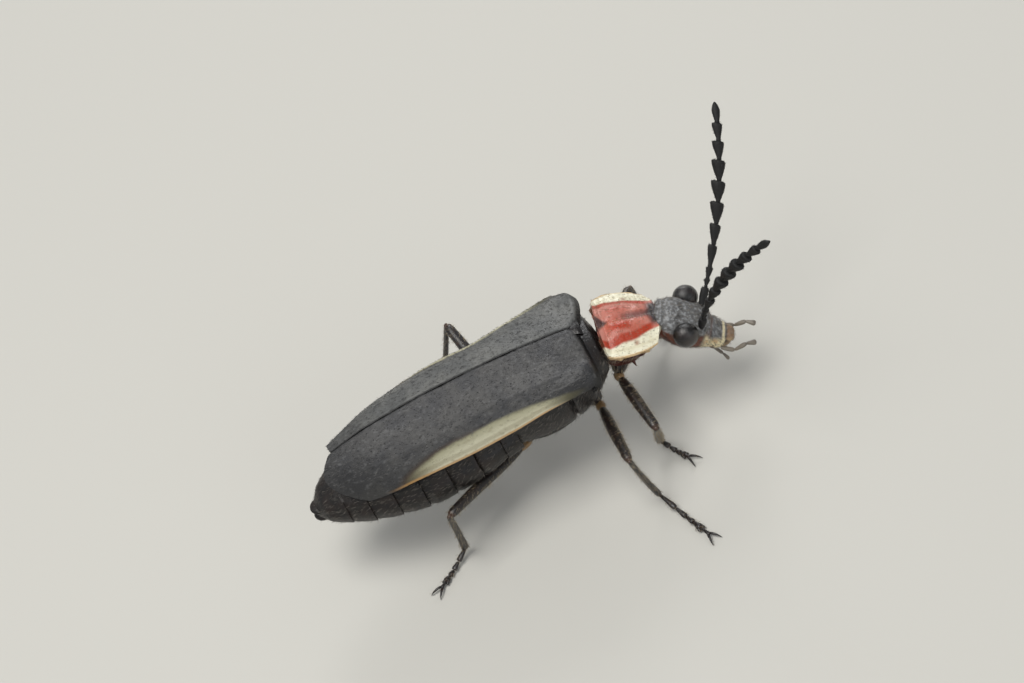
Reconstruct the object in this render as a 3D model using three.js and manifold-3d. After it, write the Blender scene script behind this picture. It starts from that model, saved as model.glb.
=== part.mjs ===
// Soldier beetle, standing, at life size: millimetres, +X towards the head, +Y to the beetle's left, +Z up.
// All places are worked out from the middle of the wing cases' front edge, and the group is set on the floor last.
import * as THREE from 'three';
import { mergeVertices } from 'three/addons/utils/BufferGeometryUtils.js';
import Module from 'manifold-3d';

const wasm = await Module();
wasm.setup();

// Driving dimensions
const GAP = 0.25;              // left between neighbouring parts
const THIN = 0.5;              // thickness of the plates
const FLOOR = -5.26;           // height of the floor below the wing cases' front edge
const RIGHT = -1;
const LEFT = 1;
const SIDES = [['right', RIGHT], ['left', LEFT]];

const WING_CASE = {
  length: 9.66,                // along the seam between the two
  apexReach: { right: 0.62, left: 0.05 },  // how far the rounded ends pass the seam's end
  apexTurn: 0.5,               // how far short of the seam's end the outer edge stops
  shoulder: 0.42,              // how far the outer front corner is rounded back
  lead: { right: 0, left: 0.52 },       // how far the front edge stands ahead of the seam's start
  narrowing: { right: 0, left: 0.16 },  // taken from the half-width towards the end
  bend: 0.94,                  // exponent of the cross-section, 1 for an ellipse
  halfWidth: [[-10.4, 0.95], [-9.4, 1.36], [-8, 1.8], [-5.6, 2.1], [-3.6, 2.06], [-2.35, 2.15], [-0.6, 2.32], [0, 2.25]],
  drop: [[-10.4, 1.3], [-9.3, 1.75], [-7.3, 1.7], [-5.6, 1.65], [-3.6, 1.62], [-2.35, 1.3], [-0.6, 0.85], [0, 0.7]],
  ridge: [[-10.4, 0.1], [-9.6, 0.42], [-7.5, 0.78], [-4.9, 0.84], [-2.3, 0.68], [-0.4, 0.4], [0, 0.26]],
};
const SCUTELLUM = { length: 0.52, halfWidth: 0.36, top: 0.14 };
const THORAX = {
  halfWidth: [[-3.65, 1.72], [-2.6, 1.92], [-1.2, 1.9], [-0.3, 1.62], [0.38, 1.12]],
  top: [[-3.65, 0.2], [-0.4, 0.05], [0.38, -0.3]],
  bottom: [[-3.65, -2.66], [-2.6, -2.82], [-1.2, -2.68], [-0.3, -2.25], [0.38, -1.6]],
};
const ABDOMEN = {
  front: -3.9,
  tip: -11.35,
  segments: 8,
  step: 0.05,                  // how far each segment's rear edge stands over the next
  halfWidth: [[-11.35, 0.3], [-11, 0.62], [-10.4, 1.05], [-9.7, 1.45], [-8.5, 1.85], [-7, 2.06], [-5.3, 2.04], [-3.9, 1.8]],
  halfHeight: [[-11.35, 0.2], [-11, 0.42], [-10.4, 0.65], [-9.7, 0.85], [-8.5, 1.04], [-7, 1.18], [-5.3, 1.14], [-3.9, 1.02]],
  middle: [[-11.35, -1.98], [-10.4, -1.86], [-9.7, -1.84], [-8.5, -1.88], [-7, -1.94], [-5.3, -1.9], [-3.9, -1.74]],
};
const PRONOTUM = {
  rear: [0.68, -0.02, -0.03],   // middle of the rear margin
  yaw: 8,
  pitch: 15,
  length: 2.08,
  halfWidth: 1.5,
  drop: 0.46,                  // of the side margins below the middle
  frontArch: 0.16,             // how far the middle of the front margin leads
  cornerTurn: 0.28,            // how round the corners are: 0 for square, 0.5 for a circle
  trunkHalfWidth: 1.02,
  trunkDepth: 1.75,
};
const HEAD = {
  brow: [4.09, -0.84, -1.48],  // midway between the antennae's roots
  yaw: 22,
  pitch: 37,
  halfWidth: [[-1.72, 0.55], [-1.3, 0.72], [-0.65, 0.9], [-0.1, 0.8], [0.35, 0.64], [0.8, 0.53], [1.15, 0.43], [1.36, 0.27]],
  top: [[-1.72, 0], [-1.3, 0.14], [-0.65, 0.2], [-0.1, 0.14], [0.35, -0.04], [0.8, -0.22], [1.15, -0.34], [1.36, -0.46]],
  bottom: [[-1.72, -0.75], [-1.3, -0.98], [-0.65, -1.13], [-0.1, -1.17], [0.35, -1.12], [0.8, -0.98], [1.15, -0.84], [1.36, -0.7]],
};
const EYE = { radius: 0.46, place: [-0.56, 0.86, -0.1] };
const ANTENNA = {
  root: [-0.02, 0.48, 0],
  lengths: [0.72, 0.25, 0.42, 0.75, 0.71, 0.74, 0.7, 0.7, 0.64, 0.61, 0.72],
  widths: [0.5, 0.5, 0.5, 0.52, 0.54, 0.58, 0.58, 0.56, 0.52, 0.5, 0.48],
  neck: 0.42,
  reach: { left: [3.82, 4.61, 4.14], right: [3.15, -2.86, 5.64] },
  bow: { left: [0.66, -0.44, 0.1], right: [-0.6, 0.3, 0.8] },
};
const PALP = {
  maxillary: [[1, 0.52, -0.76], [1.5, 0.56, -0.66], [1.78, 0.5, -0.24], [2.12, 0.42, -0.14]],
  labial: [[0.9, 0.12, -1.25], [1.36, 0.18, -1.42], [1.66, 0.2, -1.62]],
  radius: 0.22,
};
const LEG = { coxa: 0.42, femur: 0.27, tibia: 0.25, tarsus: 0.25, claw: 0.14 };
const TARSUS_SHARES = [0.32, 0.2, 0.15, 0.15, 0.18];
const LEGS = [
  { name: 'leg_front_right', from: 'prothorax', coxa: [1.15, -0.5, -1.3], hip: [0.56, -0.77, -2.11],
    knee: [0.84, -3.72, -2.25], ankle: [0.82, -2.11, -4.86], toe: [1.47, -3.21] },
  { name: 'leg_front_left', from: 'prothorax', coxa: [1.25, 0.3, -1.3], hip: [0.8, 0.72, -2.11],
    knee: [2.42, 2.7, -2.25], ankle: [2.6, 2.18, -4.86], toe: [3.75, 2.53] },
  { name: 'leg_middle_right', from: 'thorax', coxa: [-0.7, -0.6, -2.1], hip: [-0.49, -1.05, -2.74],
    knee: [-0.53, -4.35, -2.39], ankle: [-0.11, -4.28, -4.9], toe: [0.77, -6.72] },
  { name: 'leg_middle_left', from: 'thorax', coxa: [-0.8, 0.6, -2.1], hip: [-0.75, 1.05, -2.74],
    knee: [-1.58, 3.86, -2.53], ankle: [-2.1, 3.93, -4.9], toe: [-2.63, 5.61] },
  { name: 'leg_hind_right', from: 'thorax', coxa: [-2.95, -0.5, -2.2], hip: [-3.33, -0.68, -3.2],
    knee: [-7, -2.85, -2.3], ankle: [-7.09, -2.3, -4.9], toe: [-8.49, -3.23] },
  { name: 'leg_hind_left', from: 'thorax', coxa: [-2.95, 0.5, -2.2], hip: [-3.2, 0.8, -3.15],
    knee: [-4.04, 4.77, -1.75], ankle: [-5.26, 4.9, -4.9], toe: [-6.5, 5.9] },
];

// Colours and finishes
const FINISHES = {
  wingCase: { color: 0x3c3a3a, roughness: 0.6, metalness: 0 },
  shell: { color: 0x1d1917, roughness: 0.35, metalness: 0 },
  belly: { color: 0x221c19, roughness: 0.5, metalness: 0 },
  pronotum: { color: 0xb85a4c, roughness: 0.4, metalness: 0 },
  head: { color: 0x3a322d, roughness: 0.45, metalness: 0 },
  eye: { color: 0x15110f, roughness: 0.15, metalness: 0 },
  antenna: { color: 0x151312, roughness: 0.7, metalness: 0 },
  mouth: { color: 0x9a6a34, roughness: 0.4, metalness: 0 },
  leg: { color: 0x261d18, roughness: 0.35, metalness: 0 },
};

// A smooth curve through [place, value] pairs, level beyond its ends
function smoothThrough(pairs) {
  const last = pairs.length - 1;
  const slope = (i) => {
    const [x0, y0] = pairs[Math.max(i - 1, 0)];
    const [x1, y1] = pairs[Math.min(i + 1, last)];
    return (y1 - y0) / (x1 - x0);
  };
  return (place) => {
    const x = THREE.MathUtils.clamp(place, pairs[0][0], pairs[last][0]);
    const i = Math.min(pairs.findIndex((pair, k) => k === last || x <= pairs[k + 1][0]), last - 1);
    const [x0, y0] = pairs[i];
    const [x1, y1] = pairs[i + 1];
    const span = x1 - x0;
    const t = (x - x0) / span;
    const rise = 3 * t * t - 2 * t * t * t;
    const leave = (t - 1) * (t - 1) * t * span * slope(i);
    const arrive = (t - 1) * t * t * span * slope(i + 1);
    return y0 + (y1 - y0) * rise + leave + arrive;
  };
}

// A closed mesh from points and triangles, turned so that its faces point out
function closedMesh(points, triangles) {
  let volume = 0;
  for (const [a, b, c] of triangles) {
    volume += points[a].dot(points[b].clone().cross(points[c]));
  }
  const ordered = volume < 0 ? triangles.map(([a, b, c]) => [a, c, b]) : triangles;
  const geometry = new THREE.BufferGeometry();
  geometry.setAttribute('position', new THREE.Float32BufferAttribute(points.flatMap((p) => p.toArray()), 3));
  geometry.setIndex(ordered.flat());
  return geometry;
}

// A closed skin over rings of points, with a fan over each end
function loft(rings) {
  const sides = rings[0].length;
  const points = rings.flat();
  const triangles = [];
  for (let r = 0; r + 1 < rings.length; r += 1) {
    for (let s = 0; s < sides; s += 1) {
      const a = r * sides + s;
      const b = r * sides + (s + 1) % sides;
      triangles.push([a, b, b + sides], [a, b + sides, a + sides]);
    }
  }
  for (const [ring, offset, flip] of [[rings[0], 0, true], [rings.at(-1), (rings.length - 1) * sides, false]]) {
    const middle = new THREE.Vector3();
    ring.forEach((p) => middle.addScaledVector(p, 1 / sides));
    points.push(middle);
    for (let s = 0; s < sides; s += 1) {
      const edge = [offset + s, offset + (s + 1) % sides];
      triangles.push(flip ? [edge[1], edge[0], points.length - 1] : [edge[0], edge[1], points.length - 1]);
    }
  }
  return closedMesh(points, triangles);
}

// A plate that follows a surface, with alike triangles on both faces
function plate(surface, outward, inward, rows, columns) {
  const step = 0.002;
  const face = (shift) => {
    const points = [];
    for (let i = 0; i <= rows; i += 1) {
      for (let j = 0; j <= columns; j += 1) {
        const u = i / rows;
        const v = j / columns;
        const along = surface(Math.min(u + step, 1), v).sub(surface(Math.max(u - step, 0), v));
        const across = surface(u, Math.min(v + step, 1)).sub(surface(u, Math.max(v - step, 0)));
        const normal = along.cross(across).normalize();
        normal.multiplyScalar(normal.z < 0 ? -shift : shift);
        points.push(surface(u, v).add(normal));
      }
    }
    return points;
  };
  const points = [...face(outward), ...face(-inward)];
  const under = (rows + 1) * (columns + 1);
  const at = (i, j) => i * (columns + 1) + j;
  const triangles = [];
  for (let i = 0; i < rows; i += 1) {
    for (let j = 0; j < columns; j += 1) {
      const [a, b, c, d] = [at(i, j), at(i + 1, j), at(i + 1, j + 1), at(i, j + 1)];
      triangles.push([a, b, c], [a, c, d], [a + under, c + under, b + under], [a + under, d + under, c + under]);
    }
  }
  const rim = [];
  for (let i = 0; i < rows; i += 1) {
    rim.push([at(i, 0), at(i + 1, 0)], [at(i + 1, columns), at(i, columns)]);
  }
  for (let j = 0; j < columns; j += 1) {
    rim.push([at(0, j + 1), at(0, j)], [at(rows, j), at(rows, j + 1)]);
  }
  for (const [a, b] of rim) {
    triangles.push([b, a, a + under], [b, a + under, b + under]);
  }
  return closedMesh(points, triangles);
}

// An upright ring across the body's length, square-shouldered where its power is over 2
function crossRing(x, halfWidth, top, bottom, sides, power = 2.2) {
  const ring = [];
  for (let s = 0; s < sides; s += 1) {
    const turn = (s + 0.5) / sides * 2 * Math.PI;
    const y = Math.sign(Math.cos(turn)) * Math.abs(Math.cos(turn)) ** (2 / power) * halfWidth;
    const z = Math.sign(Math.sin(turn)) * Math.abs(Math.sin(turn)) ** (2 / power);
    ring.push(new THREE.Vector3(x, y, (top + bottom) / 2 + z * (top - bottom) / 2));
  }
  return ring;
}

// A rod along a curve, its half-sizes given by a function of the place along it
function rod(curve, halfSizes, steps, sides, up = new THREE.Vector3(0, 0, 1)) {
  const rings = [];
  for (let i = 0; i <= steps; i += 1) {
    const t = 0.5 - 0.49 * Math.cos(Math.PI * i / steps);
    const rounding = (1 - Math.abs(2 * t - 1) ** 8) ** (1 / 4);
    const [wide, high] = halfSizes(t).map((size) => size * rounding);
    const across = curve.getTangentAt(t).cross(up).normalize();
    const over = across.clone().cross(curve.getTangentAt(t)).normalize();
    const ring = [];
    for (let s = 0; s < sides; s += 1) {
      const turn = (s + 0.5) / sides * 2 * Math.PI;
      const point = curve.getPointAt(t);
      point.addScaledVector(across, Math.cos(turn) * wide);
      ring.push(point.addScaledVector(over, Math.sin(turn) * high));
    }
    rings.push(ring);
  }
  return loft(rings);
}

const vector = (numbers) => new THREE.Vector3(...numbers);
const straight = (a, b) => new THREE.LineCurve3(a, b);
const mirrored = ([x, y, z], side) => new THREE.Vector3(x, y * side, z);

function ball(centre, radii, segments = 12) {
  const geometry = new THREE.SphereGeometry(1, segments, Math.round(segments * 0.7));
  return geometry.scale(...radii).translate(centre.x, centre.y, centre.z);
}

// The solid of a closed geometry, and the geometry of a solid's largest closed surface
function solid(geometry) {
  const bare = geometry.clone();
  bare.deleteAttribute('normal');
  bare.deleteAttribute('uv');
  const merged = mergeVertices(bare, 1e-4);
  return new wasm.Manifold(new wasm.Mesh({
    numProp: 3,
    vertProperties: new Float32Array(merged.attributes.position.array),
    triVerts: new Uint32Array(merged.index.array),
  }));
}

function fuse(geometries) {
  return geometries.map(solid).reduce((whole, piece) => whole.add(piece));
}

function largest(whole) {
  const pieces = whole.decompose().sort((a, b) => b.volume() - a.volume());
  const mesh = pieces[0].getMesh();
  const geometry = new THREE.BufferGeometry();
  geometry.setAttribute('position', new THREE.BufferAttribute(new Float32Array(mesh.vertProperties), 3));
  geometry.setIndex(new THREE.BufferAttribute(new Uint32Array(mesh.triVerts), 1));
  return geometry;
}

function frame(origin, yaw, pitch) {
  const turn = new THREE.Euler(0, THREE.MathUtils.degToRad(pitch), -THREE.MathUtils.degToRad(yaw), 'ZYX');
  return new THREE.Matrix4().makeRotationFromEuler(turn).setPosition(vector(origin));
}

// Wing cases: each is a curved plate from the seam down to its turned-down outer edge
const wingWidth = smoothThrough(WING_CASE.halfWidth);
const wingDrop = smoothThrough(WING_CASE.drop);
const wingRidge = smoothThrough(WING_CASE.ridge);

function wingCaseSurface([name, side], seam, extra = 0) {
  return (u, v) => {
    const lead = WING_CASE.lead[name] * Math.sin(Math.PI * v ** 0.87);
    const start = extra + lead - WING_CASE.shoulder * v ** 6;
    const lobe = WING_CASE.apexReach[name] * Math.sin(Math.PI * v ** 0.85) ** 0.8;
    const end = -(WING_CASE.length + lobe - WING_CASE.apexTurn * v ** 5) - extra;
    const x = start + (end - start) * u;
    const turn = v * Math.PI / 2;
    const width = wingWidth(x) - WING_CASE.narrowing[name] * THREE.MathUtils.smoothstep(-x, 4, 7);
    const y = seam + (width - seam) * Math.sin(turn) ** WING_CASE.bend;
    const z = wingRidge(x) - (wingDrop(x) + extra) * (1 - Math.cos(turn) ** WING_CASE.bend);
    return new THREE.Vector3(x, side * y, z);
  };
}

const wingCutters = SIDES.map((side) => solid(plate(wingCaseSurface(side, -0.1, GAP), 1.2, THIN + GAP, 16, 8)));

// Scutellum: the small three-cornered plate between the wing cases' front corners
function scutellumPrism(grow) {
  const { length, halfWidth, top } = SCUTELLUM;
  const outline = new THREE.Shape([
    new THREE.Vector2(0.1 + grow, halfWidth + grow),
    new THREE.Vector2(-length - 2 * grow, 0),
    new THREE.Vector2(0.1 + grow, -halfWidth - grow),
  ]);
  const prism = new THREE.ExtrudeGeometry(outline, { depth: THIN + 2 * grow, bevelEnabled: false });
  return prism.translate(0, 0, top - THIN - grow);
}

function wingCase(side) {
  const shell = solid(plate(wingCaseSurface(side, GAP / 2), 0, THIN, 24, 10));
  return largest(shell.subtract(solid(scutellumPrism(GAP))).subtract(grownBodies.prothorax));
}

// Thorax: the trunk between the front body ring and the belly, under the wing cases
function thoraxLoft(grow) {
  const [width, top, bottom] = [THORAX.halfWidth, THORAX.top, THORAX.bottom].map(smoothThrough);
  const [rear, front] = [THORAX.halfWidth[0][0], THORAX.halfWidth.at(-1)[0]];
  const rings = [];
  for (let i = 0; i <= 12; i += 1) {
    const x = rear + (front - rear) * i / 12;
    const reach = x + grow * (i === 0 ? -1 : 0) + grow * (i === 12 ? 1 : 0);
    rings.push(crossRing(reach, width(x) + grow, top(x) + grow, bottom(x) - grow, 20));
  }
  return loft(rings);
}

function thorax() {
  const trunk = wingCutters.reduce((whole, cutter) => whole.subtract(cutter), solid(thoraxLoft(0)));
  return largest(trunk.subtract(solid(scutellumPrism(GAP))));
}

// Abdomen: ringed segments that step down towards the tip
function abdomenLoft(grow) {
  const [width, height, middle] = [ABDOMEN.halfWidth, ABDOMEN.halfHeight, ABDOMEN.middle].map(smoothThrough);
  const rings = [];
  for (let i = 0; i < ABDOMEN.segments; i += 1) {
    for (const [share, step] of [[0.04, -1], [0.5, 0], [0.96, 1]]) {
      const x = ABDOMEN.front + (ABDOMEN.tip - ABDOMEN.front) * (i + share) / ABDOMEN.segments;
      const swell = step * ABDOMEN.step * Math.min(1, width(x));
      const [half, high, mid] = [width(x) + swell + grow, height(x) + swell + grow, middle(x)];
      rings.push(crossRing(x, half, mid + high, mid - high, 20, 2.1));
    }
  }
  return loft(rings);
}

function abdomen() {
  return largest(wingCutters.reduce((whole, cutter) => whole.subtract(cutter), solid(abdomenLoft(0))));
}

// Front body ring: the shield on top with the trunk below it that carries the front legs
const pronotumFrame = frame(PRONOTUM.rear, PRONOTUM.yaw, PRONOTUM.pitch);

function pronotumSurface(grow) {
  return (u, v) => {
    const aside = (2 * v - 1) * Math.sqrt(1 - PRONOTUM.cornerTurn * (2 * u - 1) ** 2);
    const ahead = (2 * u - 1) * Math.sqrt(1 - PRONOTUM.cornerTurn * (2 * v - 1) ** 2);
    const half = PRONOTUM.length / 2 + grow;
    const arch = PRONOTUM.frontArch * (1 - aside * aside) * Math.max(ahead, 0) ** 2;
    const x = PRONOTUM.length / 2 + ahead * half + arch;
    const y = aside * (PRONOTUM.halfWidth + grow) * (1.03 - 0.09 * ahead);
    const z = -PRONOTUM.drop * Math.abs(aside) ** 2.2 - 0.1 * ahead * ahead;
    return new THREE.Vector3(x, y, z);
  };
}

function prothoraxPieces(grow) {
  const shield = plate(pronotumSurface(grow), grow, THIN * 0.9 + grow, 10, 12);
  const rings = [];
  for (let i = 0; i <= 8; i += 1) {
    const t = i / 8;
    const swell = (1 - Math.abs(2 * t - 1) ** 4) ** 0.5 * 0.35 + 0.65 - 0.12 * t;
    const x = 0.12 + (PRONOTUM.length - 0.3) * t + grow * (2 * t - 1);
    const half = PRONOTUM.trunkHalfWidth * swell + grow;
    rings.push(crossRing(x, half, -0.15 + grow, -PRONOTUM.trunkDepth * swell - grow, 16));
  }
  return [shield, loft(rings)].map((piece) => piece.applyMatrix4(pronotumFrame));
}

// Head: a rounded box that narrows to the mouth, held low under the shield's front edge
const headFrame = frame(HEAD.brow, HEAD.yaw, HEAD.pitch);

function headLoft(grow) {
  const [width, top, bottom] = [HEAD.halfWidth, HEAD.top, HEAD.bottom].map(smoothThrough);
  const [rear, front] = [HEAD.halfWidth[0][0], HEAD.halfWidth.at(-1)[0]];
  const rings = [];
  for (let i = 0; i <= 14; i += 1) {
    const x = rear + (front - rear) * i / 14;
    const reach = x + grow * (2 * i / 14 - 1);
    rings.push(crossRing(reach, width(x) + grow, top(x) + grow, bottom(x) - grow, 18, 2.4));
  }
  return loft(rings).applyMatrix4(headFrame);
}

function eyeBall(side, grow) {
  const radius = EYE.radius + grow;
  return ball(mirrored(EYE.place, side), [radius, radius * 0.92, radius], 14).applyMatrix4(headFrame);
}

function head() {
  return largest(SIDES.reduce((whole, [, side]) => whole.subtract(solid(eyeBall(side, GAP))), solid(headLoft(0))));
}

const headRoom = solid(headLoft(GAP));

// Antennae: eleven joints, each narrow at its root and widest near its end
function antenna(name, side) {
  const root = mirrored(ANTENNA.root, side).applyMatrix4(headFrame);
  const tip = root.clone().add(vector(ANTENNA.reach[name]));
  const bend = root.clone().lerp(tip, 0.5).add(vector(ANTENNA.bow[name]));
  const path = new THREE.QuadraticBezierCurve3(root, bend, tip);
  const whole = ANTENNA.lengths.reduce((sum, length) => sum + length);
  const joints = [];
  let start = 0;
  ANTENNA.lengths.forEach((length, i) => {
    const [from, to] = [start / whole, (start + length) / whole];
    const overlap = i === 0 ? 0 : 0.012;
    const piece = straight(path.getPointAt(Math.max(from - overlap, 0)), path.getPointAt(to));
    const last = i === ANTENNA.lengths.length - 1;
    const widest = ANTENNA.widths[i] / 2;
    const size = (t) => {
      const swell = last ? Math.sin(Math.PI * (0.25 + 0.65 * t)) : Math.sin(Math.PI * 0.62 * t + 0.1);
      return ANTENNA.neck / 2 + (widest - ANTENNA.neck / 2) * Math.max(swell, last ? -0.4 : 0);
    };
    joints.push(rod(piece, (t) => [size(t), size(t)], 4, 8));
    start += length;
  });
  return largest(fuse(joints).subtract(headRoom));
}

// Mouth parts: a pair of jointed palps at the sides and the lip with its short pair below
function palpRods(points, side) {
  const places = points.map((point) => mirrored(point, side).applyMatrix4(headFrame));
  const rods = [];
  for (let i = 0; i + 1 < places.length; i += 1) {
    const radius = PALP.radius * (1 - 0.12 * i);
    const beyond = places[i + 1].clone().lerp(places[i], -0.15);
    rods.push(rod(straight(places[i], beyond), () => [radius, radius], 4, 8));
  }
  return rods;
}

function lowerLip() {
  const base = ball(new THREE.Vector3(0.82, 0, -1.3), [0.42, 0.36, 0.3]).applyMatrix4(headFrame);
  const palps = SIDES.flatMap(([, side]) => palpRods(PALP.labial, side));
  return largest(fuse([base, ...palps]).subtract(headRoom));
}

// Legs: hip, thigh, shin, five foot joints and two claws, flat underneath where they stand
function leg(spec, root) {
  const [coxa, hip, knee, ankle] = [spec.coxa, spec.hip, spec.knee, spec.ankle].map(vector);
  const toe = new THREE.Vector3(spec.toe[0], spec.toe[1], FLOOR + LEG.tarsus * 0.8);
  const side = new THREE.Vector3(1, 0, 0);
  const spindle = (full) => (t) => {
    const size = full * (0.9 + 0.1 * Math.sin(Math.PI * t));
    return [size, size];
  };
  const pieces = [
    rod(straight(coxa, hip), (t) => [LEG.coxa - 0.12 * t, LEG.coxa - 0.12 * t], 4, 10, side),
    rod(straight(hip.clone().lerp(knee, -0.04), knee.clone().lerp(hip, -0.03)), spindle(LEG.femur), 6, 10),
    rod(straight(knee.clone().lerp(ankle, -0.04), ankle.clone().lerp(knee, -0.04)), spindle(LEG.tibia), 5, 8, side),
  ];
  const landing = ankle.clone().lerp(toe, TARSUS_SHARES[0]);
  landing.z = toe.z;
  let start = ankle;
  let share = 0;
  for (const [i, part] of TARSUS_SHARES.entries()) {
    share += part;
    const end = i === 0 ? landing : ankle.clone().lerp(toe, share).setZ(toe.z);
    const wide = LEG.tarsus * (i === 3 ? 1.2 : 1);
    const size = (t) => [wide * (0.86 + 0.2 * t), LEG.tarsus * 0.96];
    pieces.push(rod(straight(start.clone().lerp(end, -0.12), end.clone().lerp(start, -0.1)), size, 3, 8));
    start = end;
  }
  const ahead = toe.clone().sub(landing).setZ(0).normalize();
  const across = new THREE.Vector3(-ahead.y, ahead.x, 0);
  for (const turn of [-1, 1]) {
    const tip = toe.clone().addScaledVector(ahead, 0.42).addScaledVector(across, turn * 0.3).setZ(FLOOR + 0.06);
    const claw = (t) => [LEG.claw * (1.2 - 0.9 * t), LEG.claw * (1.2 - 0.9 * t)];
    pieces.push(rod(straight(toe, tip), claw, 4, 6));
  }
  const ground = new THREE.BoxGeometry(60, 60, 4).translate(0, 0, FLOOR - 2);
  return largest(fuse(pieces).subtract(root).subtract(solid(ground)));
}

// The whole beetle, one named mesh for each part
const beetle = new THREE.Group();

function add(name, geometry, finish) {
  const mesh = new THREE.Mesh(geometry, new THREE.MeshStandardMaterial(FINISHES[finish]));
  mesh.name = name;
  beetle.add(mesh);
}

const grownBodies = {
  prothorax: fuse(prothoraxPieces(GAP)),
  thorax: solid(thoraxLoft(GAP)).add(solid(abdomenLoft(GAP))),
};
for (const [name, side] of SIDES) {
  add(`wing_case_${name}`, wingCase([name, side]), 'wingCase');
  add(`eye_${name}`, eyeBall(side, 0), 'eye');
  add(`antenna_${name}`, antenna(name, side), 'antenna');
  add(`maxillary_palp_${name}`, largest(fuse(palpRods(PALP.maxillary, side)).subtract(headRoom)), 'mouth');
}
add('scutellum', scutellumPrism(0), 'shell');
add('thorax', thorax(), 'shell');
add('abdomen', abdomen(), 'belly');
add('prothorax', largest(fuse(prothoraxPieces(0)).subtract(headRoom)), 'pronotum');
add('head', head(), 'head');
add('lower_lip', lowerLip(), 'mouth');
for (const spec of LEGS) {
  add(spec.name, leg(spec, grownBodies[spec.from]), 'leg');
}

const box = new THREE.Box3().setFromObject(beetle);
const middle = box.getCenter(new THREE.Vector3());
beetle.position.set(-middle.x, -middle.y, -box.min.z);
beetle.updateMatrixWorld(true);

export default beetle;
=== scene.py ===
"""A soldier beetle at life size, standing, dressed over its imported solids.

Pieces are modelled in millimetres from the middle of the wing cases' front edge, with +X towards the head,
+Y to the beetle's left and +Z up. They are set in the frame, in metres, when they are finished.
"""

from __future__ import annotations

import logging
import math
import random
from contextlib import contextmanager
from dataclasses import dataclass, field
from enum import Enum
from itertools import pairwise
from typing import Callable, Iterator, Sequence

import bpy
from mathutils import Matrix, Vector, noise

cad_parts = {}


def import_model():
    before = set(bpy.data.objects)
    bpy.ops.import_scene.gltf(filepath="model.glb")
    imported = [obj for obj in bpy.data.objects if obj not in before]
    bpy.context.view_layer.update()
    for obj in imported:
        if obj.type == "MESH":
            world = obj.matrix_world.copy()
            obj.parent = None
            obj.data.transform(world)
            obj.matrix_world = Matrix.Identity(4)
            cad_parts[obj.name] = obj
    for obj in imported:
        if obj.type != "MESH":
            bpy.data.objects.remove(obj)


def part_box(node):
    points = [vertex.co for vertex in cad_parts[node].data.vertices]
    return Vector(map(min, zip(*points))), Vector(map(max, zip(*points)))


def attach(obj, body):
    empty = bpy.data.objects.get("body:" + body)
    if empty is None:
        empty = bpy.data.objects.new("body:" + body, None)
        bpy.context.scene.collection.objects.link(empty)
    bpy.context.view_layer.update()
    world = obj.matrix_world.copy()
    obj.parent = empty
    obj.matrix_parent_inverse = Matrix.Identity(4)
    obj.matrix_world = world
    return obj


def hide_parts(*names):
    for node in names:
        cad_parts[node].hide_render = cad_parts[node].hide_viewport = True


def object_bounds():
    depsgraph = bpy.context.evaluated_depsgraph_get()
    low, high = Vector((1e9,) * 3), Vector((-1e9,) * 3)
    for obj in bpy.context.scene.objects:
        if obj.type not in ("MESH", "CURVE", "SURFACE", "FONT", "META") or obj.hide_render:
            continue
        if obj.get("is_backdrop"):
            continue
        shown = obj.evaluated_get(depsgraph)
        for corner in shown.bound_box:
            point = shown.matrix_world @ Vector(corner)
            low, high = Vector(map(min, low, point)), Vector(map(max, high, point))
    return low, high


LOG = logging.getLogger("beetle")
SMOOTH_ANGLE = math.radians(50)  # sharper edges than this stay crisp
MM = 0.001
FLOOR = -5.26  # height of the floor below the wing cases' front edge
SEAM_HALF = 0.125  # the solids' wing cases stand this far from the middle
BODY = "root"
Piece = bpy.types.Object
Material = bpy.types.Material
Triple = tuple[float, float, float]
Stations = tuple[tuple[float, float], ...]


class Side(Enum):
    """The beetle's two sides; the value is the sign of Y."""

    RIGHT = -1
    LEFT = 1

    @property
    def word(self) -> str:
        """The side's name as it stands in node names."""
        return self.name.lower()


def smooth_through(pairs: Stations, place: float) -> float:
    """Read a smooth curve through (place, value) pairs, level beyond its ends.

    Args:
        pairs: The points that the curve goes through, by rising place.
        place: Where it is read.

    Returns:
        The value there.
    """
    last = len(pairs) - 1
    x = min(max(place, pairs[0][0]), pairs[last][0])
    i = next((k for k in range(last) if x <= pairs[k + 1][0]), last - 1)

    def slope(k: int) -> float:
        """Rise over run between a point's neighbours."""
        before, after = pairs[max(k - 1, 0)], pairs[min(k + 1, last)]
        return (after[1] - before[1]) / (after[0] - before[0])

    (x0, y0), (x1, y1) = pairs[i], pairs[i + 1]
    span = x1 - x0
    t = (x - x0) / span
    rise = 3 * t * t - 2 * t**3
    return y0 + (y1 - y0) * rise + (t - 1) ** 2 * t * span * slope(i) + (t - 1) * t * t * span * slope(i + 1)


def bump_at(x: float, centre: float, width: float) -> float:
    """A smooth hump of height 1 at centre that fades over width."""
    return math.exp(-(((x - centre) / width) ** 2))


def fuller(value: float, power: float) -> float:
    """Raise a number's size to a power and keep its sign, which squares off a round section."""
    return math.copysign(abs(value) ** power, value)


def round_about(v: float) -> tuple[float, float]:
    """How far aside and how far up a section's rim lies, at a share of the way round from its top."""
    return math.sin(v * math.tau), math.cos(v * math.tau)


def rounded_ends(u: float, first: float, last: float) -> float:
    """How wide a body stands open at u: 1 along its middle, closing over the first and last shares."""
    return max(1e-4, min(1.0, u / first, (1 - u) / last)) ** 0.5


def turned_frame(origin: Triple, yaw: float, pitch: float) -> Matrix:
    """A part's own frame: turned right by yaw and down by pitch, in degrees, at its origin in millimetres."""
    turn = Matrix.Rotation(-math.radians(yaw), 4, "Z") @ Matrix.Rotation(math.radians(pitch), 4, "Y")
    return Matrix.Translation(origin) @ turn


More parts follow.
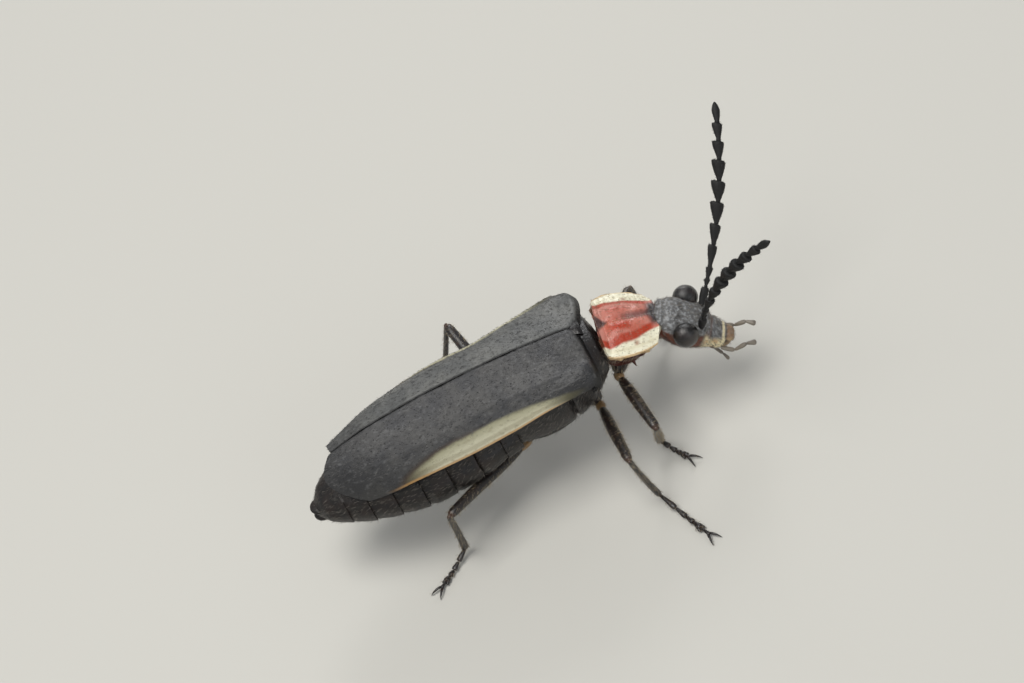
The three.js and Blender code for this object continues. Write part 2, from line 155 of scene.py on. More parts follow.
def along(start: Vector, end: Vector, side: Vector) -> Matrix:
    """A frame at start whose Z runs to end and whose X lies as near to side as it can."""
    z = (end - start).normalized()
    y = z.cross(side).normalized()
    x = y.cross(z)
    return Matrix.Translation(start) @ Matrix((x, y, z)).transposed().to_4x4()


@dataclass(frozen=True)
class Ring:
    """One ring of a body drawn out along its length: its centre and half-sizes."""

    centre: Triple
    wide: float
    high: float


class Bench:
    """The modelling steps that every piece is made with, on Blender's own operators."""

    def __init__(self, solids: Sequence[Sequence[float]]) -> None:
        """Find where the wing cases' front edge lies in the frame, so that pieces can be set down there.

        Args:
            solids: The low and high corners of the box round all solids.
        """
        _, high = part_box("wing_case_right")
        self.origin = Vector((high[0], high[1] + SEAM_HALF * MM, -FLOOR * MM))
        self.placing = Matrix.Translation(self.origin) @ Matrix.Scale(MM, 4)
        self.reach = [self.placing.inverted() @ Vector(corner) for corner in solids]

    def holds(self, place: Vector) -> bool:
        """Tell whether a place, in the beetle's millimetres, lies in the box round the solids."""
        return all(low < at < high for low, at, high in zip(self.reach[0], place, self.reach[1]))

    @staticmethod
    def clear() -> None:
        """Leave edit mode and deselect everything."""
        if bpy.context.object and bpy.context.object.mode != "OBJECT":
            bpy.ops.object.mode_set(mode="OBJECT")
        bpy.ops.object.select_all(action="DESELECT")

    def pick(self, *pieces: Piece) -> Piece:
        """Select only these pieces and make the first one active.

        Args:
            pieces: The pieces to select.

        Returns:
            The active piece.
        """
        self.clear()
        for piece in pieces:
            piece.select_set(True)
        bpy.context.view_layer.objects.active = pieces[0]
        return pieces[0]

    @contextmanager
    def editing(self, piece: Piece) -> Iterator[None]:
        """Open a piece in edit mode with all of it selected, for the lines inside the block."""
        self.pick(piece)
        bpy.ops.object.mode_set(mode="EDIT")
        bpy.ops.mesh.select_all(action="SELECT")
        yield
        bpy.ops.object.mode_set(mode="OBJECT")

    def drawn_out(self, name: str, rings: Sequence[Ring], sides: int, smooth: int = 1) -> Piece:
        """Draw a closed body out of a disc, ring by ring along Z, and round it off.

        Args:
            name: The piece's name.
            rings: Its rings, by rising Z.
            sides: How many corners each ring has.
            smooth: Levels of subdivision.

        Returns:
            The piece, still in its own millimetres.
        """
        self.clear()
        first = rings[0]
        bpy.ops.mesh.primitive_circle_add(vertices=sides, radius=1, fill_type="NGON", location=first.centre)
        piece = bpy.context.object
        piece.name = name
        piece.scale = (first.wide, first.high, 1)
        bpy.ops.object.transform_apply(location=True, rotation=True, scale=True)
        with self.editing(piece):
            for before, after in pairwise(rings):
                step = Vector(after.centre) - Vector(before.centre)
                bpy.ops.mesh.extrude_region_move(TRANSFORM_OT_translate={"value": step})
                spread = (after.wide / before.wide, after.high / before.high, 1)
                bpy.ops.transform.resize(value=spread, center_override=after.centre)
            bpy.ops.mesh.select_all(action="SELECT")
            bpy.ops.mesh.normals_make_consistent(inside=False)
        return self.subdivided(piece, smooth)

    def sheet(self, name: str, rows: int, columns: int, shape: Callable[[float, float], Vector]) -> Piece:
        """Bend a grid over a surface, and keep the places along and across it as its UV map.

        Args:
            name: The piece's name.
            rows: Faces along the surface.
            columns: Faces across it.
            shape: The surface, from 0 to 1 along and across.

        Returns:
            The piece, one face thick.
        """
        self.clear()
        bpy.ops.mesh.primitive_grid_add(
            x_subdivisions=rows, y_subdivisions=columns, size=1, location=(0.5, 0.5, 0)
        )
        piece = bpy.context.object
        piece.name = name
        bpy.ops.object.transform_apply(location=True)
        lay = piece.data.uv_layers.active or piece.data.uv_layers.new()
        lay.name = "lay"
        for loop in piece.data.loops:
            lay.data[loop.index].uv = piece.data.vertices[loop.vertex_index].co.xy
        self.reshape(piece, lambda co: shape(co.x, co.y))
        return piece

    @staticmethod
    def reshape(piece: Piece, shape: Callable[[Vector], Vector]) -> Piece:
        """Move every vertex of a piece to where shape puts it.

        Args:
            piece: The piece.
            shape: Gives a vertex's new place from its old one.

        Returns:
            The same piece.
        """
        for vertex in piece.data.vertices:
            vertex.co = shape(vertex.co.copy())
        piece.data.update()
        return piece

    def apply(self, piece: Piece, kind: str, **settings: object) -> Piece:
        """Add a modifier, set it and apply it.

        Args:
            piece: The piece.
            kind: The modifier's type.
            settings: Its settings by name.

        Returns:
            The same piece.
        """
        self.pick(piece)
        modifier = piece.modifiers.new(kind.lower(), kind)
        for key, value in settings.items():
            setattr(modifier, key, value)
        bpy.ops.object.modifier_apply(modifier=modifier.name)
        return piece

    def subdivided(self, piece: Piece, levels: int) -> Piece:
        """Round a piece off by levels of subdivision."""
        return self.apply(piece, "SUBSURF", levels=levels, render_levels=levels) if levels else piece

    def thickened(self, piece: Piece, thickness: float) -> Piece:
        """Give a sheet its thickness, inwards from its outer face."""
        return self.apply(piece, "SOLIDIFY", thickness=thickness, offset=-1, use_even_offset=True)

    def outward(self, piece: Piece) -> Piece:
        """Merge a closed piece's doubles and turn its faces outwards.

        Args:
            piece: The piece.

        Returns:
            The same piece.
        """
        with self.editing(piece):
            bpy.ops.mesh.remove_doubles(threshold=1e-5)
            bpy.ops.mesh.normals_make_consistent(inside=False)
        return piece

    def ball(self, name: str, centre: Triple, radii: Triple, segments: int = 24) -> Piece:
        """A rounded lump: a sphere at its size and place, to be shaped further.

        Args:
            name: The piece's name.
            centre: Its middle.
            radii: Its half-sizes.
            segments: How many faces go round it.

        Returns:
            The piece.
        """
        self.clear()
        bpy.ops.mesh.primitive_uv_sphere_add(
            segments=segments, ring_count=segments // 2, radius=1, location=centre
        )
        piece = bpy.context.object
        piece.name = name
        piece.scale = radii
        bpy.ops.object.transform_apply(location=True, rotation=True, scale=True)
        return piece

    @staticmethod
    def keep_own(piece: Piece, tag: float = 0.0) -> Piece:
        """Keep each vertex's place in the piece's own millimetres, for its markings.

        Args:
            piece: The piece, before it is placed.
            tag: A number that tells like pieces apart.

        Returns:
            The same piece.
        """
        piece.data.attributes.new("own", "FLOAT_VECTOR", "POINT")
        piece.data.attributes.new("tag", "FLOAT", "POINT")
        own, mark = piece.data.attributes["own"].data, piece.data.attributes["tag"].data
        for i, vertex in enumerate(piece.data.vertices):
            own[i].vector = vertex.co
            mark[i].value = tag
        return piece

    def moved(self, piece: Piece, frame: Matrix) -> Piece:
        """Carry a piece's mesh into another frame."""
        piece.data.transform(frame)
        piece.data.update()
        return piece

    def joined(self, name: str, pieces: Sequence[Piece]) -> Piece:
        """Join pieces into one object.

        Args:
            name: The joined piece's name.
            pieces: The pieces.

        Returns:
            The joined piece.
        """
        whole = self.pick(*pieces)
        if len(pieces) > 1:
            bpy.ops.object.join()
        whole.name = name
        return whole

    def finish(
        self,
        piece: Piece,
        paint: Material,
        slot: str,
        nodes: Sequence[str] = (),
        fur: Fur | None = None,
    ) -> Piece:
        """Place a piece in the frame, give it its finish and let it ride on the body.

        Args:
            piece: The piece, in the beetle's millimetres.
            paint: Its material.
            slot: Not used.
            nodes: The solids that it stands for.
            fur: The hairs that grow on it.

        Returns:
            The finished piece.
        """
        if fur:
            fur.cover(piece)
        self.moved(piece, self.placing)
        self.pick(piece)
        bpy.ops.object.shade_smooth_by_angle(angle=SMOOTH_ANGLE)
        piece.data.materials.clear()
        piece.data.materials.append(paint)
        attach(piece, BODY)
        if nodes:
            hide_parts(*nodes)
        faces = len(piece.data.polygons)
        LOG.info("%s: %d faces, stands for %s", piece.name, faces, ", ".join(nodes) or "no solid")
        return piece


class Value:
    """A shader socket that takes part in sums, so that a pattern reads as an expression."""

    def __init__(self, paint: Paint, socket: bpy.types.NodeSocket) -> None:
        """Wrap a socket of a paint's nodes."""
        self.paint = paint
        self.socket = socket

    def _maths(self, operation: str, first: object, second: object = 0.5, third: object = 0.5) -> Value:
        """Add one Math node for an operation on values."""
        return self.paint.node("ShaderNodeMath", {"operation": operation}, {0: first, 1: second, 2: third})

    def __add__(self, other: object) -> Value:
        """Sum."""
        return self._maths("ADD", self, other)

    def __radd__(self, other: object) -> Value:
        """Sum with a number in front."""
        return self._maths("ADD", other, self)

    def __sub__(self, other: object) -> Value:
        """Difference."""
        return self._maths("SUBTRACT", self, other)

    def __rsub__(self, other: object) -> Value:
        """Difference from a number."""
        return self._maths("SUBTRACT", other, self)

    def __mul__(self, other: object) -> Value:
        """Product."""
        return self._maths("MULTIPLY", self, other)

    def __rmul__(self, other: object) -> Value:
        """Product with a number in front."""
        return self._maths("MULTIPLY", other, self)

    def __abs__(self) -> Value:
        """Size without its sign."""
        return self._maths("ABSOLUTE", self)

    def most(self, other: object) -> Value:
        """The larger of two values."""
        return self._maths("MAXIMUM", self, other)

    def step(self, low: float, high: float) -> Value:
        """A smooth step: 0 at low, 1 at high; low may be the larger, for a step down."""
        if low > high:
            return 1 - self.step(high, low)
        settings = {"interpolation_type": "SMOOTHSTEP"}
        inputs = {"Value": self, "From Min": low, "From Max": high}
        return self.paint.node("ShaderNodeMapRange", settings, inputs)

    def band(self, low: float, high: float, soft: float) -> Value:
        """1 between low and high, with soft edges."""
        return self.step(low - soft, low + soft) * self.step(high + soft, high - soft)


class Paint:
    """One material's nodes."""

    def __init__(self, name: str) -> None:
        """Make an empty material with its output."""
        self.material = bpy.data.materials.new(name)
        self.material.use_nodes = True
        self.tree = self.material.node_tree
        self.tree.nodes.clear()
        self.out = self.tree.nodes.new("ShaderNodeOutputMaterial")

    def node(
        self, kind: str, settings: dict[str, object], inputs: dict[object, object], output: object = 0
    ) -> Value:
        """Add a node.

        Args:
            kind: The node's type.
            settings: Its own settings, set first.
            inputs: Values or links for its sockets, by name or number.
            output: The socket that is read, by name or number.

        Returns:
            The wrapped output.
        """
        node = self.tree.nodes.new(kind)
        for key, value in settings.items():
            setattr(node, key, value)
        for key, value in inputs.items():
            if isinstance(value, Value):
                self.tree.links.new(value.socket, node.inputs[key])
            elif len(node.inputs) > (key if isinstance(key, int) else 0):
                node.inputs[key].default_value = value
        return Value(self, node.outputs[output])

    def place(self) -> Value:
        """Where a point lies on the object, in millimetres."""
        spot = self.node("ShaderNodeTexCoord", {}, {}, "Object")
        return self.node("ShaderNodeVectorMath", {"operation": "SCALE"}, {0: spot, "Scale": 1 / MM})

    def own(self) -> Value:
        """Where a point lies in the piece's own millimetres."""
        return self.node("ShaderNodeAttribute", {"attribute_name": "own"}, {}, "Vector")

    def tag(self) -> Value:
        """The number that tells like pieces apart."""
        return self.node("ShaderNodeAttribute", {"attribute_name": "tag"}, {}, "Fac")

    def lay(self) -> Value:
        """Where a point lies along and across its sheet."""
        return self.node("ShaderNodeUVMap", {"uv_map": "lay"}, {})

    def split(self, vector: Value) -> tuple[Value, Value, Value]:
        """The three numbers of a vector."""
        node = self.tree.nodes.new("ShaderNodeSeparateXYZ")
        self.tree.links.new(vector.socket, node.inputs[0])
        return tuple(Value(self, node.outputs[i]) for i in range(3))

    def noise(self, where: Value, grain: float, detail: float = 3, stretch: Triple = (1, 1, 1)) -> Value:
        """Soft noise from 0 to 1.

        Args:
            where: The place that it is read at.
            grain: How many grains lie in a millimetre.
            detail: How fine its finest layer is.
            stretch: Grain along each axis, beside grain.

        Returns:
            The noise.
        """
        stretched = self.node("ShaderNodeVectorMath", {"operation": "MULTIPLY"}, {0: where, 1: stretch})
        return self.node("ShaderNodeTexNoise", {}, {"Vector": stretched, "Scale": grain, "Detail": detail})

    def cells(self, where: Value, grain: float) -> Value:
        """Distance to the nearest of many scattered points, grain of them to a millimetre."""
        return self.node("ShaderNodeTexVoronoi", {"feature": "F1"}, {"Vector": where, "Scale": grain})

    def over(self, under: object, top: object, share: object) -> Value:
        """Lay one colour over another.

        Args:
            under: The colour below, as a value or three numbers.
            top: The colour above.
            share: How much of it shows, from 0 to 1.

        Returns:
            The mixed colour.
        """
        settings = {"data_type": "RGBA", "blend_type": "MIX"}
        inputs = {0: share, 6: self.colour(under), 7: self.colour(top)}
        return self.node("ShaderNodeMix", settings, inputs, 2)

    @staticmethod
    def colour(value: object) -> object:
        """A colour as the sockets take it."""
        return value if isinstance(value, Value) else (*value, 1.0)

    def surface(
        self, colour: object, roughness: object, height: Value | None, depth: float, **fixed: float
    ) -> Material:
        """Close the material with its surface.

        Args:
            colour: Base colour.
            roughness: Roughness.
            height: Relief, from 0 to 1, or none.
            depth: How deep the relief is, in millimetres.
            fixed: Other sockets of the surface, set to numbers, with _ for a space.

        Returns:
            The material.
        """
        shader = self.tree.nodes.new("ShaderNodeBsdfPrincipled")
        for name, value in (("Base Color", self.colour(colour)), ("Roughness", roughness)):
            if isinstance(value, Value):
                self.tree.links.new(value.socket, shader.inputs[name])
            else:
                shader.inputs[name].default_value = value
        if height is not None:
            inputs = {"Height": height, "Distance": depth * MM, "Strength": 1.0}
            relief = self.node("ShaderNodeBump", {}, inputs)
            self.tree.links.new(relief.socket, shader.inputs["Normal"])
        for name, value in fixed.items():
            shader.inputs[name.replace("_", " ").title().replace("Ior", "IOR")].default_value = value
        self.tree.links.new(shader.outputs[0], self.out.inputs[0])
        return self.material


def tint(red: int, green: int, blue: int) -> Triple:
    """A colour from its screen values, 0 to 255, as the linear numbers that shaders take."""
    shares = (red / 255, green / 255, blue / 255)
    return tuple(c / 12.92 if c <= 0.04 else ((c + 0.055) / 1.055) ** 2.4 for c in shares)


@dataclass(frozen=True)
class WingCaseFinish:
    """Leathery charcoal with a cream stripe along the turned-down side and a thin orange rim; painted shade
    darkens the stripe's ends, its top, the band above it and the base by the shoulder fold.
    """

    stripe_top: float = 0.69
    charcoal: Triple = tint(60, 60, 62)
    dark: Triple = tint(28, 28, 30)
    dusty: Triple = tint(74, 73, 72)
    cream: Triple = tint(224, 220, 194)
    # Painted shade: the stripe's colour towards its ends.
    stripe_painted_shade: Triple = tint(88, 84, 58)
    rim: Triple = tint(206, 158, 96)

    def material(self) -> Material:
        """The stripe follows the sheet's own lay: 0 to 1 from base to apex and from seam to outer edge.

        Returns:
            The material.
        """
        paint = Paint("wing_case")
        way, across, _ = paint.split(paint.lay())
        spot = paint.place()
        wander = paint.noise(spot, 1.2, 2) - 0.5
        cloud = paint.noise(spot, 1.1, 4)
        grain = paint.noise(spot, 7, 5, (0.7, 1, 1))
        fine = paint.noise(spot, 22, 4)
        pits = paint.cells(spot, 7.5)
        body = paint.over(self.charcoal, self.dusty, cloud.step(0.35, 0.65))
        # Painted shade: darker at the base above the stripe, where the shoulder fold shades the case.
        body = paint.over(body, self.dark, way.step(0.3, 0.02) * across.step(0.45, 0.72) * 0.8)
        body = paint.over(body, self.dark, way.step(0.74, 0.96) * 0.55)
        body = paint.over(body, self.dark, grain.step(0.46, 0.3) * 0.6)
        body = paint.over(body, self.dark, pits.step(0.24, 0.08) * 0.7)
        body = paint.over(body, tint(118, 118, 118), grain.step(0.53, 0.72) * 0.35)
        body = paint.over(body, tint(134, 134, 134), fine.step(0.6, 0.78) * 0.3)
        fore, aft = (0.5 - way).most(0.0), (way - 0.5).most(0.0)
        top = self.stripe_top + 0.85 * fore * fore + 2.3 * aft * aft + wander * 0.035
        stripe = (across - top).step(-0.02, 0.05)
        # Painted light and shade on the stripe: cream only along its lit middle, olive in painted shade
        # towards its ends, greyer in painted shade near its top.
        lit = way.step(0.1, 0.24) * way.step(0.84, 0.66)
        faint = way.step(0.03, 0.12) * way.step(0.93, 0.72)
        # Painted shadow: a brown band along the stripe's upper edge.
        brown = (across - top).step(-0.07, 0.01) * way.step(0.35, 0.6) * way.step(0.92, 0.8)
        body = paint.over(body, tint(70, 52, 36), brown * 0.7)
        body = paint.over(body, self.stripe_painted_shade, stripe * faint * 0.7)
        shade = (across - top).step(0.02, 0.22)
        pale = paint.over(tint(172, 168, 140), self.cream, shade)
        pale = paint.over(pale, tint(150, 140, 108), across.band(0.86, 0.93, 0.02) * 0.45)
        pale = paint.over(pale, tint(132, 120, 90), grain.step(0.52, 0.75) * 0.35)
        body = paint.over(body, pale, stripe * lit)
        edge = across.step(0.94, 0.985) * way.step(0.1, 0.22) * way.step(0.93, 0.8)
        body = paint.over(body, self.rim, edge * 0.8)
        seam = across.step(0.024, 0.006).most(way.step(0.016, 0.006))
        body = paint.over(body, (0.003, 0.003, 0.003), seam)
        relief = 0.5 * grain + 0.2 * fine + 0.4 * pits.step(0.0, 0.3)
        rough = 0.36 + 0.2 * grain + 0.12 * way.step(0.1, 0.5)
        return paint.surface(body, rough, relief, 0.04, Specular_Ior_Level=0.5)


@dataclass(frozen=True)
class ShieldFinish:
    """Dusty brick red with deep red streaks, cream side margins and a dark patch before and behind."""

    red: Triple = tint(188, 98, 78)
    dusty: Triple = tint(198, 132, 118)
    deep: Triple = tint(174, 52, 18)
    cream: Triple = tint(238, 233, 208)
    dark: Triple = tint(48, 42, 44)

    def material(self) -> Material:
        """The lay runs from rear to front and from the beetle's right to its left.

        Returns:
            The material.
        """
        paint = Paint("shield")
        ahead, aside, _ = paint.split(paint.lay())
        spot = paint.place()
        cloud = paint.noise(spot, 1.8, 4)
        grain = paint.noise(spot, 8, 5)
        wander = cloud - 0.5
        out = abs(aside - 0.5) * 2 + wander * 0.05
        body = paint.over(self.red, self.dusty, cloud.step(0.42, 0.66) * 0.8)
        body = paint.over(body, self.dusty, ahead.step(0.2, 0.0).most(aside.step(0.5, 0.62)) * 0.7)
        oval = out.band(0.17, 0.36, 0.07) * ahead.band(0.2, 0.56, 0.09)
        margin_top = 0.62 + 0.08 * ahead.step(0.4, 0.1) - 0.12 * ahead.step(0.5, 0.95)
        streak = (out - margin_top).band(-0.16, 0.02, 0.04) * ahead.band(0.0, 0.9, 0.05)
        body = paint.over(body, self.deep, (oval * (0.45 + 0.5 * aside.step(0.6, 0.4))).most(streak * 0.95))
        grey = out.step(0.18, 0.03) * ahead.step(0.3, 0.62)
        front = (ahead - 0.16 * out).step(0.78, 0.9) * out.step(0.5, 0.3)
        rear = (ahead + 0.75 * out).step(0.24, 0.15)
        body = paint.over(body, tint(104, 70, 68), grey * 0.8)
        body = paint.over(body, self.dark, front.most(rear * 0.9))
        margin = (out - margin_top).step(-0.01, 0.06)
        pale = paint.over(self.cream, tint(190, 176, 132), grain.step(0.5, 0.74) * 0.35)
        pale = paint.over(pale, tint(206, 196, 160), out.band(0.76, 0.84, 0.03) * 0.4)
        pale = paint.over(pale, tint(198, 158, 96), out.step(0.93, 0.985) * 0.75)
        smudge = out.band(0.66, 0.76, 0.04) * ahead.band(0.56, 0.64, 0.04)
        pale = paint.over(pale, tint(150, 84, 56), smudge * 0.7)
        body = paint.over(body, pale, margin)
        rim = (abs(aside - 0.5) * 2).most(abs(ahead - 0.5) * 2).step(0.972, 0.992)
        body = paint.over(body, tint(96, 48, 28), rim * (1 - margin * 0.8))
        relief = 0.6 * grain + 0.4 * paint.noise(spot, 20, 4)
        return paint.surface(body, 0.26 + 0.2 * grain, relief, 0.03, Specular_Ior_Level=0.5, Coat_Weight=0.15)


@dataclass(frozen=True)
class HornFinish:
    """Hard dark shell: a base colour, a second one in clouds, and how glossy and rough it is."""

    name: str
    base: Triple
    cloud: Triple
    gloss: float = 0.35
    grain: float = 14
    depth: float = 0.012
    share: float = 0.6

    def material(self) -> Material:
        """Clouded colour with fine punctures.

        Returns:
            The material.
        """
        paint = Paint(self.name)
        spot = paint.place()
        cloud = paint.noise(spot, 2.2, 4)
        fine = paint.noise(spot, self.grain, 5)
        pits = paint.cells(spot, self.grain)
        body = paint.over(self.base, self.cloud, cloud.step(0.38, 0.7) * self.share)
        body = paint.over(body, (0.003, 0.002, 0.002), pits.step(0.16, 0.04) * 0.5)
        relief = 0.6 * fine + 0.4 * pits.step(0.0, 0.3)
        return paint.surface(body, self.gloss + 0.18 * fine, relief, self.depth, Specular_Ior_Level=0.5)


@dataclass(frozen=True)
class HeadFinish:
    """Grey-black above, lifted by painted highlight, orange-brown on the cheeks and neck, cream-yellow on the
    face.
    """

    crown: Triple = tint(98, 98, 98)
    cheek: Triple = tint(112, 50, 20)
    face: Triple = tint(236, 222, 182)

    def material(self) -> Material:
        """The markings are laid in the head's own millimetres.

        Returns:
            The material.
        """
        paint = Paint("head")
        ahead, aside, up = paint.split(paint.own())
        spot = paint.place()
        cloud = paint.noise(spot, 2.6, 4)
        grain = paint.noise(spot, 9, 5)
        out = abs(aside)
        # The crown's grey and its pale speckles are partly its own grey-black and partly painted highlight.
        body = paint.over(self.crown, tint(176, 178, 180), grain.step(0.44, 0.66) * 0.6)
        body = paint.over(body, tint(36, 34, 34), cloud.step(0.46, 0.34) * 0.7)
        low = (up + 0.22 * (cloud - 0.5) - 0.12 * ahead).step(-0.12, -0.26) * ahead.step(0.5, 0.1)
        cheek = paint.over(self.cheek, tint(66, 30, 13), cloud.step(0.4, 0.66))
        body = paint.over(body, cheek, low)
        side = (out - 0.62 * ahead.step(2.2, 0.3)).step(-0.12, 0.02)
        under = (up + 0.3 * ahead).step(-0.16, -0.32)
        face = ahead.step(0.12, 0.34) * side.most(under)
        body = paint.over(body, paint.over(self.face, tint(186, 132, 66), cloud.step(0.5, 0.7) * 0.7), face)
        body = paint.over(body, tint(146, 112, 78), ahead.step(1.04, 1.14) * 0.8)
        band = (ahead + 0.1 * cloud).band(0.42, 0.52, 0.04) * (1 - under)
        body = paint.over(body, tint(112, 78, 66), band * 0.5)
        body = paint.over(body, self.face, ahead.band(0.9, 1.0, 0.03) * 0.85)
        throat = up.step(-0.95, -1.1)
        body = paint.over(body, tint(32, 22, 18), throat * 0.9)
        relief = 0.6 * grain + 0.4 * paint.noise(spot, 20, 4)
        return paint.surface(body, 0.26 + 0.24 * grain, relief, 0.04, Specular_Ior_Level=0.5)


@dataclass(frozen=True)
class EyeFinish:
    """Black-brown eye with fine facets under a clear gloss."""

    dark: Triple = tint(20, 15, 14)
    warm: Triple = tint(58, 42, 36)

    def material(self) -> Material:
        """Facets about 25 to the eye's width.

        Returns:
            The material.
        """
        paint = Paint("eye")
        spot = paint.place()
        facets = paint.cells(spot, 26)
        body = paint.over(self.dark, self.warm, paint.noise(spot, 3, 3).step(0.45, 0.7) * 0.6)
        body = paint.over(body, (0.002, 0.002, 0.002), facets.step(0.35, 0.6) * 0.5)
        relief = 1 - facets
        return paint.surface(
            body, 0.2, relief, 0.012, Specular_Ior_Level=0.6, Coat_Weight=0.35, Coat_Roughness=0.12
        )


@dataclass(frozen=True)
class LegFinish:
    """Dark brown-black with pale joints: each leg piece keeps its place from root 0 to end 1 in own Z."""

    shell: Triple = tint(26, 20, 18)
    warm: Triple = tint(74, 44, 28)
    joint: Triple = tint(150, 118, 78)

    def material(self) -> Material:
        """The tag says how warm a piece is: 0 for foot joints, up to 1 for the root joint.

        Returns:
            The material.
        """
        paint = Paint("leg")
        _, _, way = paint.split(paint.own())
        spot = paint.place()
        tag = paint.tag()
        cloud = paint.noise(spot, 5, 4)
        fine = paint.noise(spot, 26, 5)
        body = paint.over(self.shell, self.warm, cloud.step(0.5, 0.75) * 0.3)
        ends = way.step(0.95, 1.0).most(way.step(0.04, 0.0)) * 0.7
        body = paint.over(body, self.warm, ends)
        body = paint.over(body, self.joint, tag.step(0.6, 0.9))
        body = paint.over(body, (0.004, 0.003, 0.003), fine.step(0.62, 0.8) * 0.4)
        relief = 0.6 * fine + 0.4 * paint.cells(spot, 18).step(0.0, 0.3)
        return paint.surface(body, 0.2 + 0.22 * fine, relief, 0.014, Specular_Ior_Level=0.7)


@dataclass(frozen=True)
class Root:
    """Where one hair stands: its place and lean, and its spot on the unwrapped skin."""

    place: Vector
    lean: Vector
    spot: tuple[float, float]


@dataclass
class Coat:
    """Fine hairs as thin three-sided spikes, joined in one mesh."""

    bench: Bench
    name: str
    seed: int = 7
    patch: float = 0.0015
    clearance: float = 0.06
    places: list[Triple] = field(default_factory=list)
    faces: list[tuple[int, ...]] = field(default_factory=list)
    spots: list[tuple[float, float]] = field(default_factory=list)

    @staticmethod
    def order(place: Vector) -> Triple:
        """A place as rounded numbers, so that faces and corners sort the same way on every run."""
        return tuple(round(c, 4) for c in place)

    def roots(
        self,
        skin: Piece,
        count: int,
        lie: Vector,
        rise: float,
        cell: tuple[int, int],
        keep: Callable[[Vector, Vector], bool] = lambda place, normal: True,
    ) -> list[Root]:
        """Scatter hair roots evenly over a skin.

        Args:
            skin: The piece that the hairs grow on, still in millimetres.
            count: How many to try.
            lie: The way that the hairs lie.
            rise: How far they stand up, from 0 for flat to 1.
            cell: The skin's own square, of eight by eight, on the hair's UV map.
            keep: Tells from a place and its normal whether a hair grows there.

        Returns:
            The roots.
        """
        chance = random.Random(self.seed + cell[0] * 8 + cell[1])
        polygons = sorted(skin.data.polygons, key=lambda p: self.order(p.center))
        picked = chance.choices(polygons, weights=[p.area for p in polygons], k=count)
        low = Vector(min(v.co[i] for v in skin.data.vertices) for i in range(3))
        high = Vector(max(v.co[i] for v in skin.data.vertices) for i in range(3))
        size = high - low
        found = []
        for polygon in picked:
            if not keep(polygon.center, polygon.normal):
                continue
            corners = [skin.data.vertices[i].co for i in polygon.vertices]
            first = min(range(len(corners)), key=lambda k: self.order(corners[k]))
            corners = corners[first:] + corners[:first]
            across = corners[0].lerp(corners[1], chance.random())
            place = across.lerp(corners[-1].lerp(corners[-2], chance.random()), chance.random())
            flat = (lie - polygon.normal * lie.dot(polygon.normal)).normalized()
            stray = Vector(chance.uniform(-0.25, 0.25) for _ in range(3))
            lean = (flat * (1 - rise) + polygon.normal * rise + stray).normalized()
            way = (place - low - size / 2).normalized()
            around = 0.5 + math.atan2(way.y, way.z) / math.tau
            behind = (place.x - low.x) / size.x
            spot = tuple((at + 0.05 + 0.9 * share) / 8 for at, share in zip(cell, (around, behind)))
            found.append(Root(place, lean, spot))
        return found

    def grow(self, roots: Sequence[Root], length: float, width: float, droop: float = 0.15) -> None:
        """Stand a spike on every root, unless it would reach the floor or leave the box round the solids.

        Args:
            roots: The roots.
            length: A hair's length, which varies by a third.
            width: Its width at the root.
            droop: How far its tip sinks, as a share of its length.
        """
        chance = random.Random(self.seed)
        for root in roots:
            long = length * chance.uniform(0.7, 1.25)
            tip = root.place + root.lean * long
            if tip.z < FLOOR + self.clearance or not self.bench.holds(tip):
                continue
            side = root.lean.orthogonal().normalized()
            other = root.lean.cross(side)
            start = len(self.places)
            waist = root.place + root.lean * long * 0.55
            for centre, half in ((root.place - root.lean * 0.02, width / 2), (waist, width * 0.36)):
                for k in range(3):
                    turn = math.tau * k / 3
                    out = side * math.cos(turn) + other * math.sin(turn)
                    self.places.append(tuple(centre + out * half))
            self.places.append(tuple(root.place + root.lean * long - Vector((0, 0, droop * long))))
            corners = [(start + k, start + (k + 1) % 3) for k in range(3)]
            self.faces += [(a, b, b + 3, a + 3) for a, b in corners]
            self.faces += [(a + 3, b + 3, start + 6) for a, b in corners]
            self.faces.append((start + 2, start + 1, start))
            self.spots += [root.spot] * 7

    def piece(self, material: Material, slot: str) -> Piece:
        """Make the mesh, with each hair as a small patch on its UV map.

        Args:
            material: The hair's finish.
            slot: Not used; it is passed on to finish, which ignores it.

        Returns:
            The finished coat.
        """
        mesh = bpy.data.meshes.new(self.name)
        mesh.from_pydata(self.places, [], self.faces)
        bake = mesh.uv_layers.new(name="OFBake")
        ring = [(math.cos(math.tau * k / 7), math.sin(math.tau * k / 7)) for k in range(7)]
        for loop in mesh.loops:
            at = self.spots[loop.vertex_index]
            step = ring[loop.vertex_index % 7]
            bake.data[loop.index].uv = (at[0] + step[0] * self.patch, at[1] + step[1] * self.patch)
        coat = bpy.data.objects.new(self.name, mesh)
        bpy.context.collection.objects.link(coat)
        return self.bench.finish(coat, material, slot)


@dataclass(frozen=True)
class Fur:
    """How one skin is haired, and the coat that its hairs join."""

    coat: Coat
    count: int
    length: float
    width: float
    lie: Triple
    rise: float
    cell: tuple[int, int]
    keep: Callable[[Vector, Vector], bool] = lambda place, normal: True

    def cover(self, skin: Piece) -> None:
        """Grow the hairs on a skin that still lies in millimetres."""
        roots = self.coat.roots(skin, self.count, Vector(self.lie), self.rise, self.cell, self.keep)
        self.coat.grow(roots, self.length, self.width)


@dataclass(frozen=True)
class HairFinish:
    """Fine pale hair."""

    name: str
    pale: Triple
    dark: Triple

    def material(self) -> Material:
        """Hair a little darker in places."""
        paint = Paint(self.name)
        body = paint.over(self.pale, self.dark, paint.noise(paint.place(), 3, 2).step(0.4, 0.65) * 0.6)
        return paint.surface(body, 0.45, None, 0, Specular_Ior_Level=0.4)


